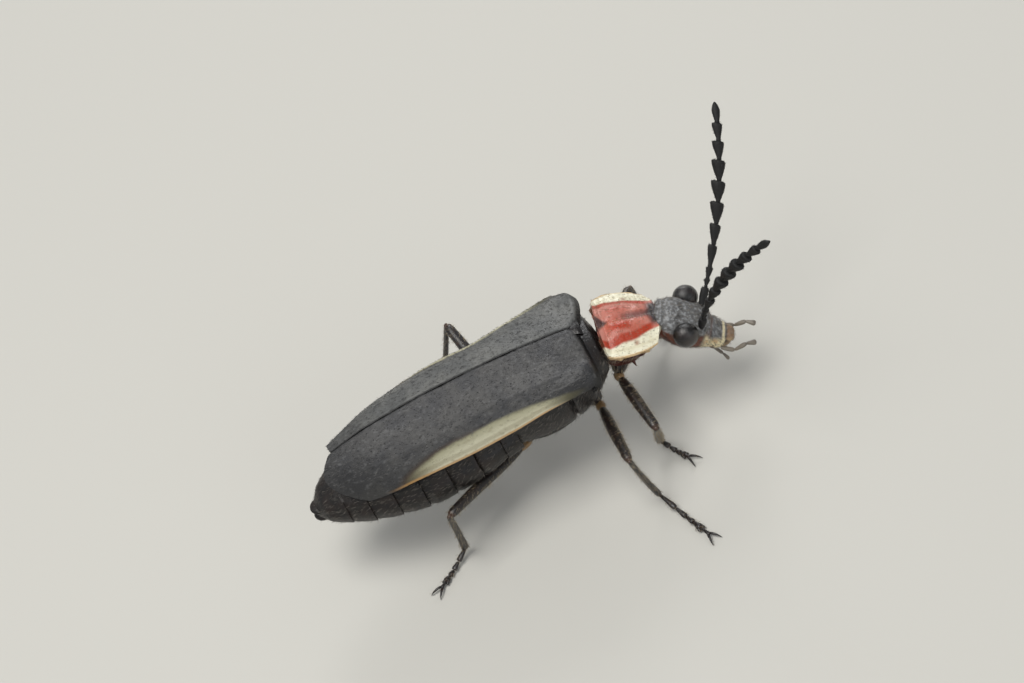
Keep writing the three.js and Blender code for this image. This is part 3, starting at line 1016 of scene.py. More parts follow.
@dataclass
class WingCases:
    """The two leathery wing cases, a hair's breadth apart, and the small triangle between their bases."""

    bench: Bench
    length: float = 9.66
    reach: dict[Side, float] = field(default_factory=lambda: {Side.RIGHT: 0.62, Side.LEFT: 0.05})
    lead: dict[Side, float] = field(default_factory=lambda: {Side.RIGHT: 0.0, Side.LEFT: 0.52})
    narrowing: dict[Side, float] = field(default_factory=lambda: {Side.RIGHT: 0.0, Side.LEFT: 0.16})
    turn: float = 0.5
    shoulder: float = 0.42
    bend: float = 0.94
    seam: float = 0.012
    thickness: float = 0.11
    half_width: Stations = (
        (-10.4, 0.95), (-9.4, 1.36), (-8, 1.8), (-5.6, 2.1), (-3.6, 2.06), (-2.35, 2.15), (-0.6, 2.32),
        (0, 2.25),
    )
    drop: Stations = (
        (-10.4, 1.3), (-9.3, 1.75), (-7.3, 1.7), (-5.6, 1.65), (-3.6, 1.62), (-2.35, 1.3), (-0.6, 0.85),
        (0, 0.7),
    )
    ridge: Stations = (
        (-10.4, 0.1), (-9.6, 0.42), (-7.5, 0.78), (-4.9, 0.84), (-2.3, 0.68), (-0.4, 0.4), (0, 0.26),
    )
    ribs: tuple[float, ...] = (0.3, 0.52, 0.7)
    folded_front: float = -2.2
    folded_rear: float = -9.93

    def surface(self, side: Side, u: float, v: float) -> Vector:
        """The outer face, from base to apex and from seam to outer edge.

        Args:
            side: Which wing case.
            u: Share of the way from base to apex.
            v: Share of the way from seam to outer edge.

        Returns:
            The place.
        """
        lobe = self.reach[side] * max(math.sin(math.pi * v**0.85), 0.0) ** 0.8
        start = self.lead[side] * math.sin(math.pi * v**0.87) - self.shoulder * v**6
        x = start - (self.length + lobe - self.turn * v**5 + start) * u
        angle = v * math.pi / 2
        round_ = max(math.cos(angle), 0.0) ** self.bend
        taper = min(max((-x - 4) / 3, 0.0), 1.0)
        width = smooth_through(self.half_width, x) - self.narrowing[side] * taper * taper * (3 - 2 * taper)
        y = self.seam + (width - self.seam) * math.sin(angle) ** self.bend
        z = smooth_through(self.ridge, x) - smooth_through(self.drop, x) * (1 - round_)
        z += self.relief(side, u, v, x)
        return Vector((x, side.value * y, z))

    def relief(self, side: Side, u: float, v: float, x: float) -> float:
        """Ribs, wrinkles, the shoulder's hump, the rolled base and the beads along the edges.

        Args:
            side: Which wing case.
            u: Share of the way from base to apex.
            v: Share of the way from seam to outer edge.
            x: The same place along X.

        Returns:
            The height to add.
        """
        fade = min(1.0, u / 0.12) * min(1.0, (1 - u) / 0.14)
        ribs = (rib + 0.02 * math.sin(4 * u + rib * 9) for rib in self.ribs)
        height = sum(0.022 * bump_at(v, rib, 0.03) for rib in ribs) * fade
        height += 0.035 * bump_at(v, 0.03, 0.022) * min(1.0, u / 0.08)
        height += 0.1 * bump_at(v, 0.6, 0.16) * bump_at(u, 0.05, 0.045)
        height -= 0.07 * bump_at(v, 0.36, 0.14) * bump_at(u, 0.05, 0.04)
        height -= 0.34 * max(0.0, 1 - u / 0.024) ** 2
        height += 0.026 * noise.noise(Vector((x * 0.9, v * 3.4, side.value * 5.0)))
        height += 0.016 * noise.noise(Vector((x * 2.6, v * 9, side.value * 9.0)))
        height += 0.014 * noise.noise(Vector((x * 8.5, v * 26, side.value * 3.0)))
        height -= 0.03
        return height * (1 - bump_at(v, 1.0, 0.05))

    def wing_case(self, side: Side, material: Material, coat: Coat) -> Piece:
        """Build one wing case with its short flat hairs.

        Args:
            side: Which wing case.
            material: Its finish.
            coat: The coat that its hairs join.

        Returns:
            The wing case.
        """
        name = f"wing_case_{side.word}"
        piece = self.bench.sheet(f"dressed_{name}", 150, 60, lambda u, v: self.surface(side, u, v))
        if side is Side.LEFT:
            with self.bench.editing(piece):
                bpy.ops.mesh.flip_normals()
        self.bench.thickened(piece, self.thickness)
        fur = Fur(
            coat, count=4200, length=0.1, width=0.012, lie=(-1, 0, 0), rise=0.28, cell=(side.value + 1, 0),
            keep=self.outer,
        )
        return self.bench.finish(piece, material, "wing_case", [name], fur)

    @staticmethod
    def outer(place: Vector, normal: Vector) -> bool:
        """Whether a place lies on a wing case's upper face, off the seam and the pale stripe."""
        return normal.z > 0.42 and abs(place.y) > 0.06

    def folded_shape(self, u: float, v: float) -> Vector:
        """The folded hind wings, which fill the room between the wing cases and the belly.

        Args:
            u: Share of the way from front to rear.
            v: Share of the way round, from the top.

        Returns:
            The place.
        """
        end = rounded_ends(u, 0.05, 0.07)
        side, up = round_about(v)
        tip = self.folded_rear + 0.35 * abs(side) ** 3
        x = self.folded_front + (tip - self.folded_front) * u
        wide = (smooth_through(self.half_width, x) - 0.26 - 0.5 * max(0.0, u - 0.7)) * end
        ridge = smooth_through(self.ridge, x) - 0.17 - 0.1 * max(0.0, u - 0.9)
        floor = ridge - smooth_through(self.drop, x) * 0.95
        y = wide * fuller(side, 0.8)
        fall = smooth_through(self.drop, x) * 0.93 * (1 - math.sqrt(max(0.0, 1 - (y / (wide + 0.4)) ** 2)))
        top = ridge - fall
        pleat = 0.045 * math.sin(y * 11 + 1.5 * math.sin(x * 1.7)) * (up > 0.05)
        z = (top + floor) / 2 + (top - floor) / 2 * fuller(up, 0.5) * end + pleat
        return Vector((x, y, z))

    def folded_wings(self, material: Material) -> Piece:
        """Build the folded hind wings that show between the wing cases' ends and the belly."""
        piece = self.bench.outward(self.bench.sheet("folded_wings", 90, 96, self.folded_shape))
        return self.bench.finish(piece, material, "wing_case")

    def scutellum_shape(self, u: float, v: float) -> Vector:
        """A small rounded triangle, wide in front."""
        across = (v * 2 - 1) * 0.37 * (1 - u) ** 0.55
        height = 0.17 + 0.1 * (1 - (v * 2 - 1) ** 2) * (1 - u * 0.6) - 0.25 * max(0.0, 0.2 - u)
        return Vector((0.14 - 0.62 * u, across, height + 0.12 * u))

    def scutellum(self, material: Material) -> Piece:
        """Build the triangle between the wing cases' bases.

        Args:
            material: Its finish.

        Returns:
            The scutellum.
        """
        piece = self.bench.sheet("dressed_scutellum", 20, 20, self.scutellum_shape)
        self.bench.outward(piece)
        if piece.data.polygons[0].normal.z < 0:
            piece.data.flip_normals()
        self.bench.thickened(piece, 0.16)
        return self.bench.finish(piece, material, "shell", ["scutellum"])


@dataclass
class Trunk:
    """The body under the wing cases: the breast with its plates, and the ringed belly."""

    bench: Bench
    breast_front: float = 0.6
    breast_length: float = 4.45
    belly_front: float = -3.4
    belly_length: float = 7.84
    breast_width: Stations = ((-3.65, 1.72), (-2.6, 1.92), (-1.2, 1.9), (-0.3, 1.62), (0.5, 1.12))
    breast_top: Stations = ((-3.65, 0.0), (-0.4, -0.06), (0.5, -0.26))
    breast_bottom: Stations = ((-3.65, -2.66), (-2.6, -2.82), (-1.2, -2.68), (-0.3, -2.25), (0.5, -1.6))
    belly_width: Stations = (
        (-11.35, 0.3), (-11, 0.62), (-10.4, 1.05), (-9.7, 1.45), (-8.5, 1.85), (-7, 2.06), (-5.3, 2.04),
        (-3.4, 1.8),
    )
    belly_height: Stations = (
        (-11.35, 0.2), (-11, 0.42), (-10.4, 0.65), (-9.7, 0.85), (-8.5, 1.04), (-7, 1.18), (-5.3, 1.14),
        (-3.4, 1.0),
    )
    belly_middle: Stations = (
        (-11.35, -1.98), (-10.4, -1.86), (-9.7, -1.84), (-8.5, -1.88), (-7, -1.94), (-3.4, -1.74),
    )
    joints: tuple[float, ...] = (-4.2, -5.25, -6.35, -7.4, -8.4, -9.3, -10.1, -10.8, -11.4)

    def breast_shape(self, u: float, v: float) -> Vector:
        """The breast's skin, with grooves between its plates.

        Args:
            u: Share of the way from front to rear.
            v: Share of the way round, from the top.

        Returns:
            The place.
        """
        x = self.breast_front - self.breast_length * u
        end = rounded_ends(u, 0.05, 0.04)
        top, bottom = smooth_through(self.breast_top, x), smooth_through(self.breast_bottom, x)
        side, up = round_about(v)
        groove = 0.09 * bump_at(side, 0.0, 0.05) * (up < 0)
        groove += 0.08 * (bump_at(x, -1.35, 0.07) + bump_at(x, -0.35, 0.06)) * (up < 0.4)
        groove += 0.07 * bump_at(abs(side), 0.82 + 0.06 * math.sin(x * 2), 0.035) * (up < 0.2)
        swell = 0.1 * bump_at(x, -2.3, 0.7) * bump_at(abs(side), 0.55, 0.3) * (up < 0)
        grow = (1 - groove + swell * 0.5) * end
        y = smooth_through(self.breast_width, x) * fuller(side, 0.82) * grow
        z = (top + bottom) / 2 + (top - bottom) / 2 * fuller(up, 0.8) * grow
        return Vector((x, y, z))

    def breast(self, material: Material, coat: Coat) -> Piece:
        """Build the breast with its hairs.

        Args:
            material: Its finish.
            coat: The coat that its hairs join.

        Returns:
            The breast.
        """
        piece = self.bench.outward(self.bench.sheet("dressed_breast", 90, 96, self.breast_shape))
        fur = Fur(
            coat, count=2600, length=0.15, width=0.012, lie=(-1, 0, -0.3), rise=0.35, cell=(1, 1),
            keep=lambda place, normal: normal.z < 0.5,
        )
        return self.bench.finish(piece, material, "shell", ["thorax"], fur)

    def belly_shape(self, u: float, v: float) -> Vector:
        """The belly's skin: rings that lap over each other, with a pinched side fold.

        Args:
            u: Share of the way from front to rear.
            v: Share of the way round, from the top.

        Returns:
            The place.
        """
        x = self.belly_front - self.belly_length * u
        side, up = round_about(v)
        ahead = max((j for j in self.joints if j > x), default=self.joints[0])
        behind = max((j for j in self.joints if j <= x), default=-12.2)
        share = min(1.0, (ahead - x) / max(ahead - behind, 0.2)) if x < self.joints[0] else 0.6
        lap = 0.035 * share**0.7 - 0.04 * max(0.0, (share - 0.9) / 0.1) - 0.02
        end = rounded_ends(u, 0.02, 0.06)
        fold = 0.1 * bump_at(abs(side), 0.93, 0.05) * (1 if up > -0.2 else 0.3)
        scallop = 0.03 * math.sin(math.pi * share) * abs(side) ** 6
        grow = (1 + lap * 0.9 - fold * 0.5 + scallop) * end
        wide, high = smooth_through(self.belly_width, x), smooth_through(self.belly_height, x)
        y = wide * fuller(side, 0.85) * grow
        z = smooth_through(self.belly_middle, x) + high * fuller(up, 0.9) * grow
        return Vector((x, y, z + 0.02 * noise.noise(Vector((x * 3, y * 3, z * 3)))))

    def belly(self, material: Material, coat: Coat) -> Piece:
        """Build the belly with the two lobes at its tip and its hairs.

        Args:
            material: Its finish.
            coat: The coat that its hairs join.

        Returns:
            The belly.
        """
        piece = self.bench.outward(self.bench.sheet("dressed_belly", 230, 72, self.belly_shape))
        lobes = [
            self.bench.ball("tip_lobe", (-10.9, 0, -2.26), (0.4, 0.36, 0.15)),
            self.bench.ball("end_plate", (-10.98, 0, -1.84), (0.33, 0.36, 0.13)),
        ]
        fur = Fur(
            coat, count=3800, length=0.13, width=0.012, lie=(-1, 0, 0), rise=0.3, cell=(2, 1),
            keep=lambda place, normal: place.x > -11.1,
        )
        whole = self.bench.joined("dressed_belly", [piece, *lobes])
        return self.bench.finish(whole, material, "belly", ["abdomen"], fur)


@dataclass
class Shield:
    """The disc over the fore-body, and the dark red body under it."""

    bench: Bench
    frame: Matrix = field(default_factory=lambda: turned_frame((0.68, -0.02, -0.03), 8, 15))
    length: float = 2.08
    half_width: float = 1.5
    drop: float = 0.46
    arch: float = 0.16
    corner_turn: float = 0.28
    thickness: float = 0.13
    trunk_rear: float = 0.05
    trunk_length: float = 1.9
    trunk_width: Stations = ((0.05, 0.84), (0.5, 1.0), (1.3, 0.98), (1.95, 0.72))
    trunk_depth: Stations = ((0.05, 1.45), (0.5, 1.7), (1.2, 1.6), (1.95, 1.15))

    def surface(self, u: float, v: float) -> Vector:
        """The disc's upper face: u from rear to front, v from the beetle's right to its left.

        Args:
            u: Share of the way from rear to front.
            v: Share of the way from right to left.

        Returns:
            The place in the shield's own frame.
        """
        aside = (2 * v - 1) * math.sqrt(1 - self.corner_turn * (2 * u - 1) ** 2)
        ahead = (2 * u - 1) * math.sqrt(1 - self.corner_turn * (2 * v - 1) ** 2)
        half = self.length / 2
        x = half + ahead * half + self.arch * (1 - aside**2) * max(ahead, 0) ** 2
        y = aside * self.half_width * (1.03 - 0.09 * ahead)
        z = -self.drop * abs(aside) ** 2.2 - 0.1 * ahead**2
        return Vector((x, y, z + self.relief(aside, ahead)))

    def relief(self, aside: float, ahead: float) -> float:
        """Two humps beside a median groove, turned-up margins and a lip behind.

        Args:
            aside: Place across, from -1 at the right to 1.
            ahead: Place along, from -1 at the rear to 1.

        Returns:
            The height to add.
        """
        out = abs(aside)
        height = 0.12 * bump_at(out, 0.28, 0.2) * bump_at(ahead, -0.25, 0.45)
        height += 0.05 * bump_at(out, 0.2, 0.2) * bump_at(ahead, 0.5, 0.3)
        height -= 0.05 * bump_at(aside, 0.0, 0.07) * min(1.0, max(0.0, (0.9 - ahead) * 2))
        height -= 0.05 * bump_at(out, 0.68, 0.12) * (1 - max(0.0, abs(ahead) - 0.6) * 2)
        height -= 0.05 * bump_at(ahead, -0.74, 0.1) * (1 - out**4)
        rim = max(out, abs(ahead))
        height += 0.07 * max(0.0, rim - 0.76) / 0.24 * (1 - 0.5 * (ahead > 0.6))
        height += 0.035 * bump_at(rim, 0.965, 0.03)
        height += 0.012 * noise.noise(Vector((aside * 4, ahead * 5, 2.0)))
        return height + 0.006 * noise.noise(Vector((aside * 13, ahead * 15, 7.0)))

    def disc(self, material: Material, coat: Coat) -> Piece:
        """Build the disc with its fine hairs.

        Args:
            material: Its finish.
            coat: The coat that its hairs join.

        Returns:
            The disc.
        """
        piece = self.bench.sheet("dressed_shield", 96, 120, self.surface)
        self.bench.thickened(piece, self.thickness)
        self.bench.moved(piece, self.frame)
        fur = Fur(
            coat, count=1000, length=0.1, width=0.013, lie=(-1, 0, 0), rise=0.4, cell=(3, 1),
            keep=lambda place, normal: normal.z > 0.1,
        )
        return self.bench.finish(piece, material, "shield", ["prothorax"], fur)

    def body_shape(self, u: float, v: float) -> Vector:
        """The body under the disc, with a fold on each side and a keel between the fore legs.

        Args:
            u: Share of the way from rear to front.
            v: Share of the way round, from the top.

        Returns:
            The place in the shield's own frame.
        """
        x = self.trunk_rear + self.trunk_length * u
        side, up = round_about(v)
        end = rounded_ends(u, 0.06, 0.1)
        fold = 0.1 * bump_at(up, -0.25, 0.12) + 0.07 * bump_at(x, 1.35, 0.09) * (up < 0.3)
        wide, deep = smooth_through(self.trunk_width, x), smooth_through(self.trunk_depth, x)
        y = wide * fuller(side, 0.8) * (1 - fold) * end
        z = -0.22 - deep / 2 + (deep / 2 - 0.12) * fuller(up, 0.85) * end
        return Vector((x, y, z - 0.05 * bump_at(side, 0, 0.2) * (up < 0)))

    def body(self, material: Material, coat: Coat) -> Piece:
        """Build the body under the disc, with the small point behind each fore leg's root.

        Args:
            material: Its finish.
            coat: The coat that its hairs join.

        Returns:
            The fore body.
        """
        pieces = [self.bench.outward(self.bench.sheet("fore_body", 48, 64, self.body_shape))]
        for side in Side:
            start, end = Vector((1.0, side.value * 0.82, -1.1)), Vector((1.2, side.value * 0.98, -1.62))
            long = (end - start).length
            rings = [Ring((0, 0, t * long), 0.1 * w, 0.07 * w) for t, w in ((0, 1), (0.5, 0.8), (1, 0.12))]
            point = self.bench.drawn_out("point", rings, 8)
            pieces.append(self.bench.moved(point, along(start, end, Vector((1, 0, 0)))))
        piece = self.bench.moved(self.bench.joined("fore_body", pieces), self.frame)
        fur = Fur(
            coat, count=700, length=0.14, width=0.015, lie=(-1, 0, -0.3), rise=0.4, cell=(4, 1),
            keep=lambda place, normal: normal.z < 0.1,
        )
        return self.bench.finish(piece, material, "shield", (), fur)


@dataclass
class Head:
    """The head in its own frame: X ahead from between the antennae's roots, Z up."""

    bench: Bench
    frame: Matrix = field(default_factory=lambda: turned_frame((4.09, -0.84, -1.48), 22, 37))
    neck: float = -1.72
    skull_length: float = 2.9
    half_width: Stations = (
        (-1.72, 0.55), (-1.3, 0.72), (-0.65, 0.9), (-0.1, 0.8), (0.35, 0.64), (0.8, 0.53), (1.15, 0.43),
        (1.36, 0.27),
    )
    top: Stations = (
        (-1.72, 0), (-1.3, 0.14), (-0.65, 0.2), (-0.1, 0.14), (0.35, -0.04), (0.8, -0.22), (1.15, -0.34),
        (1.36, -0.46),
    )
    bottom: Stations = (
        (-1.72, -0.75), (-1.3, -0.98), (-0.65, -1.13), (-0.1, -1.17), (0.35, -1.12), (0.8, -0.98),
        (1.15, -0.84), (1.36, -0.7),
    )
    eye_radius: float = 0.46
    eye: Triple = (-0.56, 0.86, -0.1)
    antenna_root: Triple = (-0.02, 0.48, 0.0)
    upper_palp: tuple[Triple, ...] = (
        (1, 0.52, -0.76), (1.5, 0.56, -0.66), (1.78, 0.5, -0.24), (2.12, 0.42, -0.14),
    )
    lower_palp: tuple[Triple, ...] = ((0.9, 0.12, -1.25), (1.36, 0.18, -1.42), (1.66, 0.2, -1.62))

    def shape(self, u: float, v: float) -> Vector:
        """The skull: u from neck to upper lip, v round it from the crown.

        Args:
            u: Share of the way from neck to upper lip.
            v: Share of the way round, from the crown.

        Returns:
            The place in the head's own frame.
        """
        x = self.neck + self.skull_length * u
        side, up = round_about(v)
        end = rounded_ends(u, 0.05, 0.05)
        wide = smooth_through(self.half_width, x)
        top, bottom = smooth_through(self.top, x), smooth_through(self.bottom, x)
        out = abs(side)
        height = -0.06 * bump_at(side, 0, 0.1) * bump_at(x, -0.05, 0.4) * (up > 0)
        height += 0.07 * bump_at(out, 0.6, 0.16) * bump_at(x, -0.05, 0.16) * (up > 0)
        height -= 0.09 * bump_at(x, 0.42 + 0.08 * out, 0.05) * (up > -0.2)
        height -= 0.07 * bump_at(x, 0.86 + 0.05 * out, 0.04) * (up > -0.1)
        height -= 0.1 * bump_at(out, 0.28, 0.05) * (up < 0) * (x < 0.9)
        height -= 0.07 * bump_at(x, -1.42, 0.08)
        height += 0.012 * noise.noise(Vector((x * 9, side * 7, up * 7)))
        y = wide * fuller(side, 0.86) * (1 + height) * end
        z = (top + bottom) / 2 + (top - bottom) / 2 * fuller(up, 0.84) * (1 + height * 1.2) * end
        return Vector((x, y, z))

    def skull(self, material: Material, coat: Coat) -> Piece:
        """Build the skull with its antennal sockets, upper lip and jaws.

        Args:
            material: Its finish.
            coat: The coat that its hairs join.

        Returns:
            The head without eyes and feelers.
        """
        pieces = [self.bench.outward(self.bench.sheet("skull", 110, 96, self.shape))]
        for side in Side:
            pieces += [self.socket(side), self.jaw(side)]
        lip = self.bench.ball("upper_lip", (1.2, 0, -0.47), (0.26, 0.36, 0.13), 28)
        self.bench.reshape(lip, self.notched)
        pieces.append(lip)
        piece = self.bench.joined("dressed_head", pieces)
        fur = Fur(
            coat, count=2600, length=0.12, width=0.01, lie=(0.6, -0.25, -0.5), rise=0.4, cell=(5, 1),
        )
        return self.set_down(piece, material, "head", "head", fur)

    def set_down(
        self, piece: Piece, material: Material, slot: str, node: str, fur: Fur | None = None
    ) -> Piece:
        """Keep the places of a piece's markings, carry it from the head's frame and finish it.

        Args:
            piece: The piece, in the head's own frame.
            material: Its finish.
            slot: Not used; it is passed on to finish, which ignores it.
            node: The solid that it stands for.
            fur: The hairs that grow on it.

        Returns:
            The finished piece.
        """
        self.bench.keep_own(piece)
        self.bench.moved(piece, self.frame)
        return self.bench.finish(piece, material, slot, [node], fur)

    @staticmethod
    def notched(co: Vector) -> Vector:
        """Press a small notch into the middle of the upper lip's front."""
        return Vector((co.x - 0.05 * bump_at(co.y, 0, 0.1) * (co.x > 1.3), co.y, co.z))

    def socket(self, side: Side) -> Piece:
        """A raised ring round an antenna's root.

        Args:
            side: Which antenna's.

        Returns:
            The ring, in the head's own frame.
        """
        self.bench.clear()
        x, y, z = self.antenna_root
        bpy.ops.mesh.primitive_torus_add(
            major_segments=28, minor_segments=10, major_radius=0.19, minor_radius=0.055,
            location=(x, side.value * y, z - 0.02), rotation=(side.value * -0.3, 0.35, 0),
        )
        piece = bpy.context.object
        bpy.ops.object.transform_apply(location=True, rotation=True, scale=True)
        return piece

    def jaw(self, side: Side) -> Piece:
        """A curved jaw that closes under the upper lip.

        Args:
            side: Which jaw.

        Returns:
            The jaw, in the head's own frame.
        """
        rings = []
        for k in range(9):
            t = k / 8
            y = side.value * (0.42 * (1 - t) ** 0.7 + 0.02 - 0.3 * t**3 * 0.3)
            centre = (y, -0.02 * t, 0.7 * math.sin(t * 1.5))
            rings.append(Ring(centre, 0.15 * (1 - t) ** 0.6 + 0.03, 0.12 * (1 - t) + 0.03))
        piece = self.bench.drawn_out("jaw", rings, 8)
        turn = Matrix.Rotation(math.pi / 2, 4, "Y") @ Matrix.Rotation(math.pi / 2, 4, "Z")
        return self.bench.moved(piece, Matrix.Translation((0.72, 0, -0.72)) @ turn)

    def eyeball(self, side: Side, material: Material) -> Piece:
        """Build one bulging eye, set a little into its socket."""
        x, y, z = self.eye
        radii = (self.eye_radius, self.eye_radius * 0.92, self.eye_radius)
        piece = self.bench.ball(f"dressed_eye_{side.word}", (x, side.value * y, z), radii, 64)
        self.bench.moved(piece, self.frame)
        return self.bench.finish(piece, material, "eye", [f"eye_{side.word}"])

    def feeler(self, name: str, path: Sequence[Triple], side: float, thick: float) -> Piece:
        """Build one jointed mouth feeler.

        Args:
            name: The piece's name.
            path: Where its joints meet.
            side: The sign of Y.
            thick: Its joints' half-width; the last one is the widest.

        Returns:
            The feeler, in the head's frame.
        """
        pieces = []
        places = [Vector((x, side * y, z)) for x, y, z in path]
        for k, (start, end) in enumerate(pairwise(places)):
            long = (end - start).length
            last = k == len(places) - 2
            swell = 1.3 if last else 1.05
            shares = ((0, 0.5), (0.12, 0.72), (0.55, 1.0), (0.82, swell), (0.96, swell * 0.7), (1.01, 0.3))
            rings = [Ring((0, 0, t * long), thick * w, thick * w * 0.85) for t, w in shares]
            piece = self.bench.drawn_out(name, rings, 8)
            pieces.append(self.bench.moved(piece, along(start, end, Vector((0, 1, 0)))))
        return self.bench.joined(name, pieces)

    def feelers(self, material: Material) -> list[Piece]:
        """Build the four mouth feelers and the lower lip that carries two of them.

        Args:
            material: Their finish.

        Returns:
            The two large feelers and the lower lip.
        """
        made = []
        for side in Side:
            node = f"maxillary_palp_{side.word}"
            piece = self.feeler(f"dressed_{node}", self.upper_palp, side.value, 0.1)
            made.append(self.set_down(piece, material, "mouth", node))
        pieces = [self.feeler("labial", self.lower_palp, side.value, 0.075) for side in Side]
        pieces.append(self.bench.ball("lip", (0.86, 0, -1.12), (0.34, 0.3, 0.17), 24))
        lip = self.bench.joined("dressed_lower_lip", pieces)
        made.append(self.set_down(lip, material, "mouth", "lower_lip"))
        return made


@dataclass
class Antenna:
    """One antenna of eleven joints, each narrow at its root and widest near a cut-off tip."""

    bench: Bench
    head: Head
    side: Side
    reach: dict[Side, Triple] = field(
        default_factory=lambda: {Side.LEFT: (3.82, 4.61, 4.14), Side.RIGHT: (3.15, -2.86, 5.64)}
    )
    bow: dict[Side, Triple] = field(
        default_factory=lambda: {Side.LEFT: (0.66, -0.44, 0.1), Side.RIGHT: (-0.6, 0.3, 0.8)}
    )
    lengths: tuple[float, ...] = (0.72, 0.25, 0.42, 0.75, 0.71, 0.74, 0.7, 0.7, 0.64, 0.61, 0.72)
    widths: tuple[float, ...] = (0.32, 0.23, 0.27, 0.36, 0.43, 0.53, 0.55, 0.53, 0.45, 0.39, 0.31)
    facing: float = math.radians(42)
    steps: int = 400

    def joints(self) -> list[Vector]:
        """Where the joints meet, along one smooth bow from the head.

        Returns:
            Twelve places, from the head to the tip.
        """
        x, y, z = self.head.antenna_root
        root = self.head.frame @ Vector((x, self.side.value * y, z))
        tip = root + Vector(self.reach[self.side])
        middle = (root + tip) / 2 + Vector(self.bow[self.side])
        shares = [k / self.steps for k in range(self.steps + 1)]
        fine = [(1 - t) ** 2 * root + 2 * (1 - t) * t * middle + t * t * tip for t in shares]
        ways = [0.0]
        for a, b in pairwise(fine):
            ways.append(ways[-1] + (b - a).length)
        total = sum(self.lengths)
        stops = [sum(self.lengths[:k]) / total * ways[-1] for k in range(len(self.lengths) + 1)]
        return [fine[min(range(len(fine)), key=lambda i, s=stop: abs(ways[i] - s))] for stop in stops]

    def joint(self, k: int, start: Vector, end: Vector, facing: Vector) -> Piece:
        """Build one joint.

        Args:
            k: Its number, from 0 at the head.
            start: Its root.
            end: Its tip.
            facing: Which way its flat face looks.

        Returns:
            The joint, in the beetle's frame.
        """
        long = (end - start).length
        half = self.widths[k] / 2
        neck = min(0.085, half * 0.6)
        rings = [Ring((0, 0, -0.07), neck, neck), Ring((0, 0, 0.05 * long), neck, neck)]
        if k == 0:
            profile = ((0.15, 0.7), (0.5, 0.95), (0.85, 1.0), (0.96, 0.75))
        elif k == 10:
            profile = ((0.14, 0.62), (0.4, 0.95), (0.62, 1.0), (0.85, 0.62), (0.98, 0.16))
        else:
            profile = ((0.13, 0.42), (0.4, 0.7), (0.72, 0.96), (0.88, 1.0), (0.945, 0.9), (0.97, 0.5))
        lean = 0.16 * half * (k > 2)
        for share, wide in profile:
            rings.append(Ring((lean * share**2, 0, share * long), half * wide, max(neck, half * wide * 0.72)))
        piece = self.bench.drawn_out(f"joint_{k}", rings, 12)
        self.bench.reshape(piece, lambda co: self.cut(co, k, long))
        side = facing.cross(end - start) * self.side.value
        return self.bench.moved(piece, along(start, end, side))

    @staticmethod
    def cut(co: Vector, k: int, long: float) -> Vector:
        """Slant a joint's cut-off tip, so that its front corner stands forward."""
        if k < 3 or k > 9:
            return co
        share = max(0.0, co.z / long - 0.55) / 0.45
        return Vector((co.x, co.y, co.z + 0.16 * co.x * share))

    def build(self, material: Material, coat: Coat) -> Piece:
        """Build the antenna with its short hairs.

        Args:
            material: Its finish.
            coat: The coat that its hairs join.

        Returns:
            The antenna.
        """
        facing = Vector((0, -math.sin(self.facing), math.cos(self.facing)))
        pieces = [self.joint(k, a, b, facing) for k, (a, b) in enumerate(pairwise(self.joints()))]
        piece = self.bench.joined(f"dressed_antenna_{self.side.word}", pieces)
        joints = self.joints()
        lie = tuple(joints[-1] - joints[0])
        cell = (6, 1 + (self.side is Side.LEFT))
        fur = Fur(
            coat, count=1100, length=0.07, width=0.011, lie=lie, rise=0.35, cell=cell,
            keep=lambda place, normal: (place - joints[-1]).length > 0.2,
        )
        return self.bench.finish(piece, material, "antenna", [f"antenna_{self.side.word}"], fur)


@dataclass(frozen=True)
class LegPath:
    """Where a leg's joints lie: body root, hip, knee and ankle, and the foot's tip on the floor."""

    coxa: Triple
    hip: Triple
    knee: Triple
    ankle: Triple
    toe: tuple[float, float]
    thigh: float
    shin: float


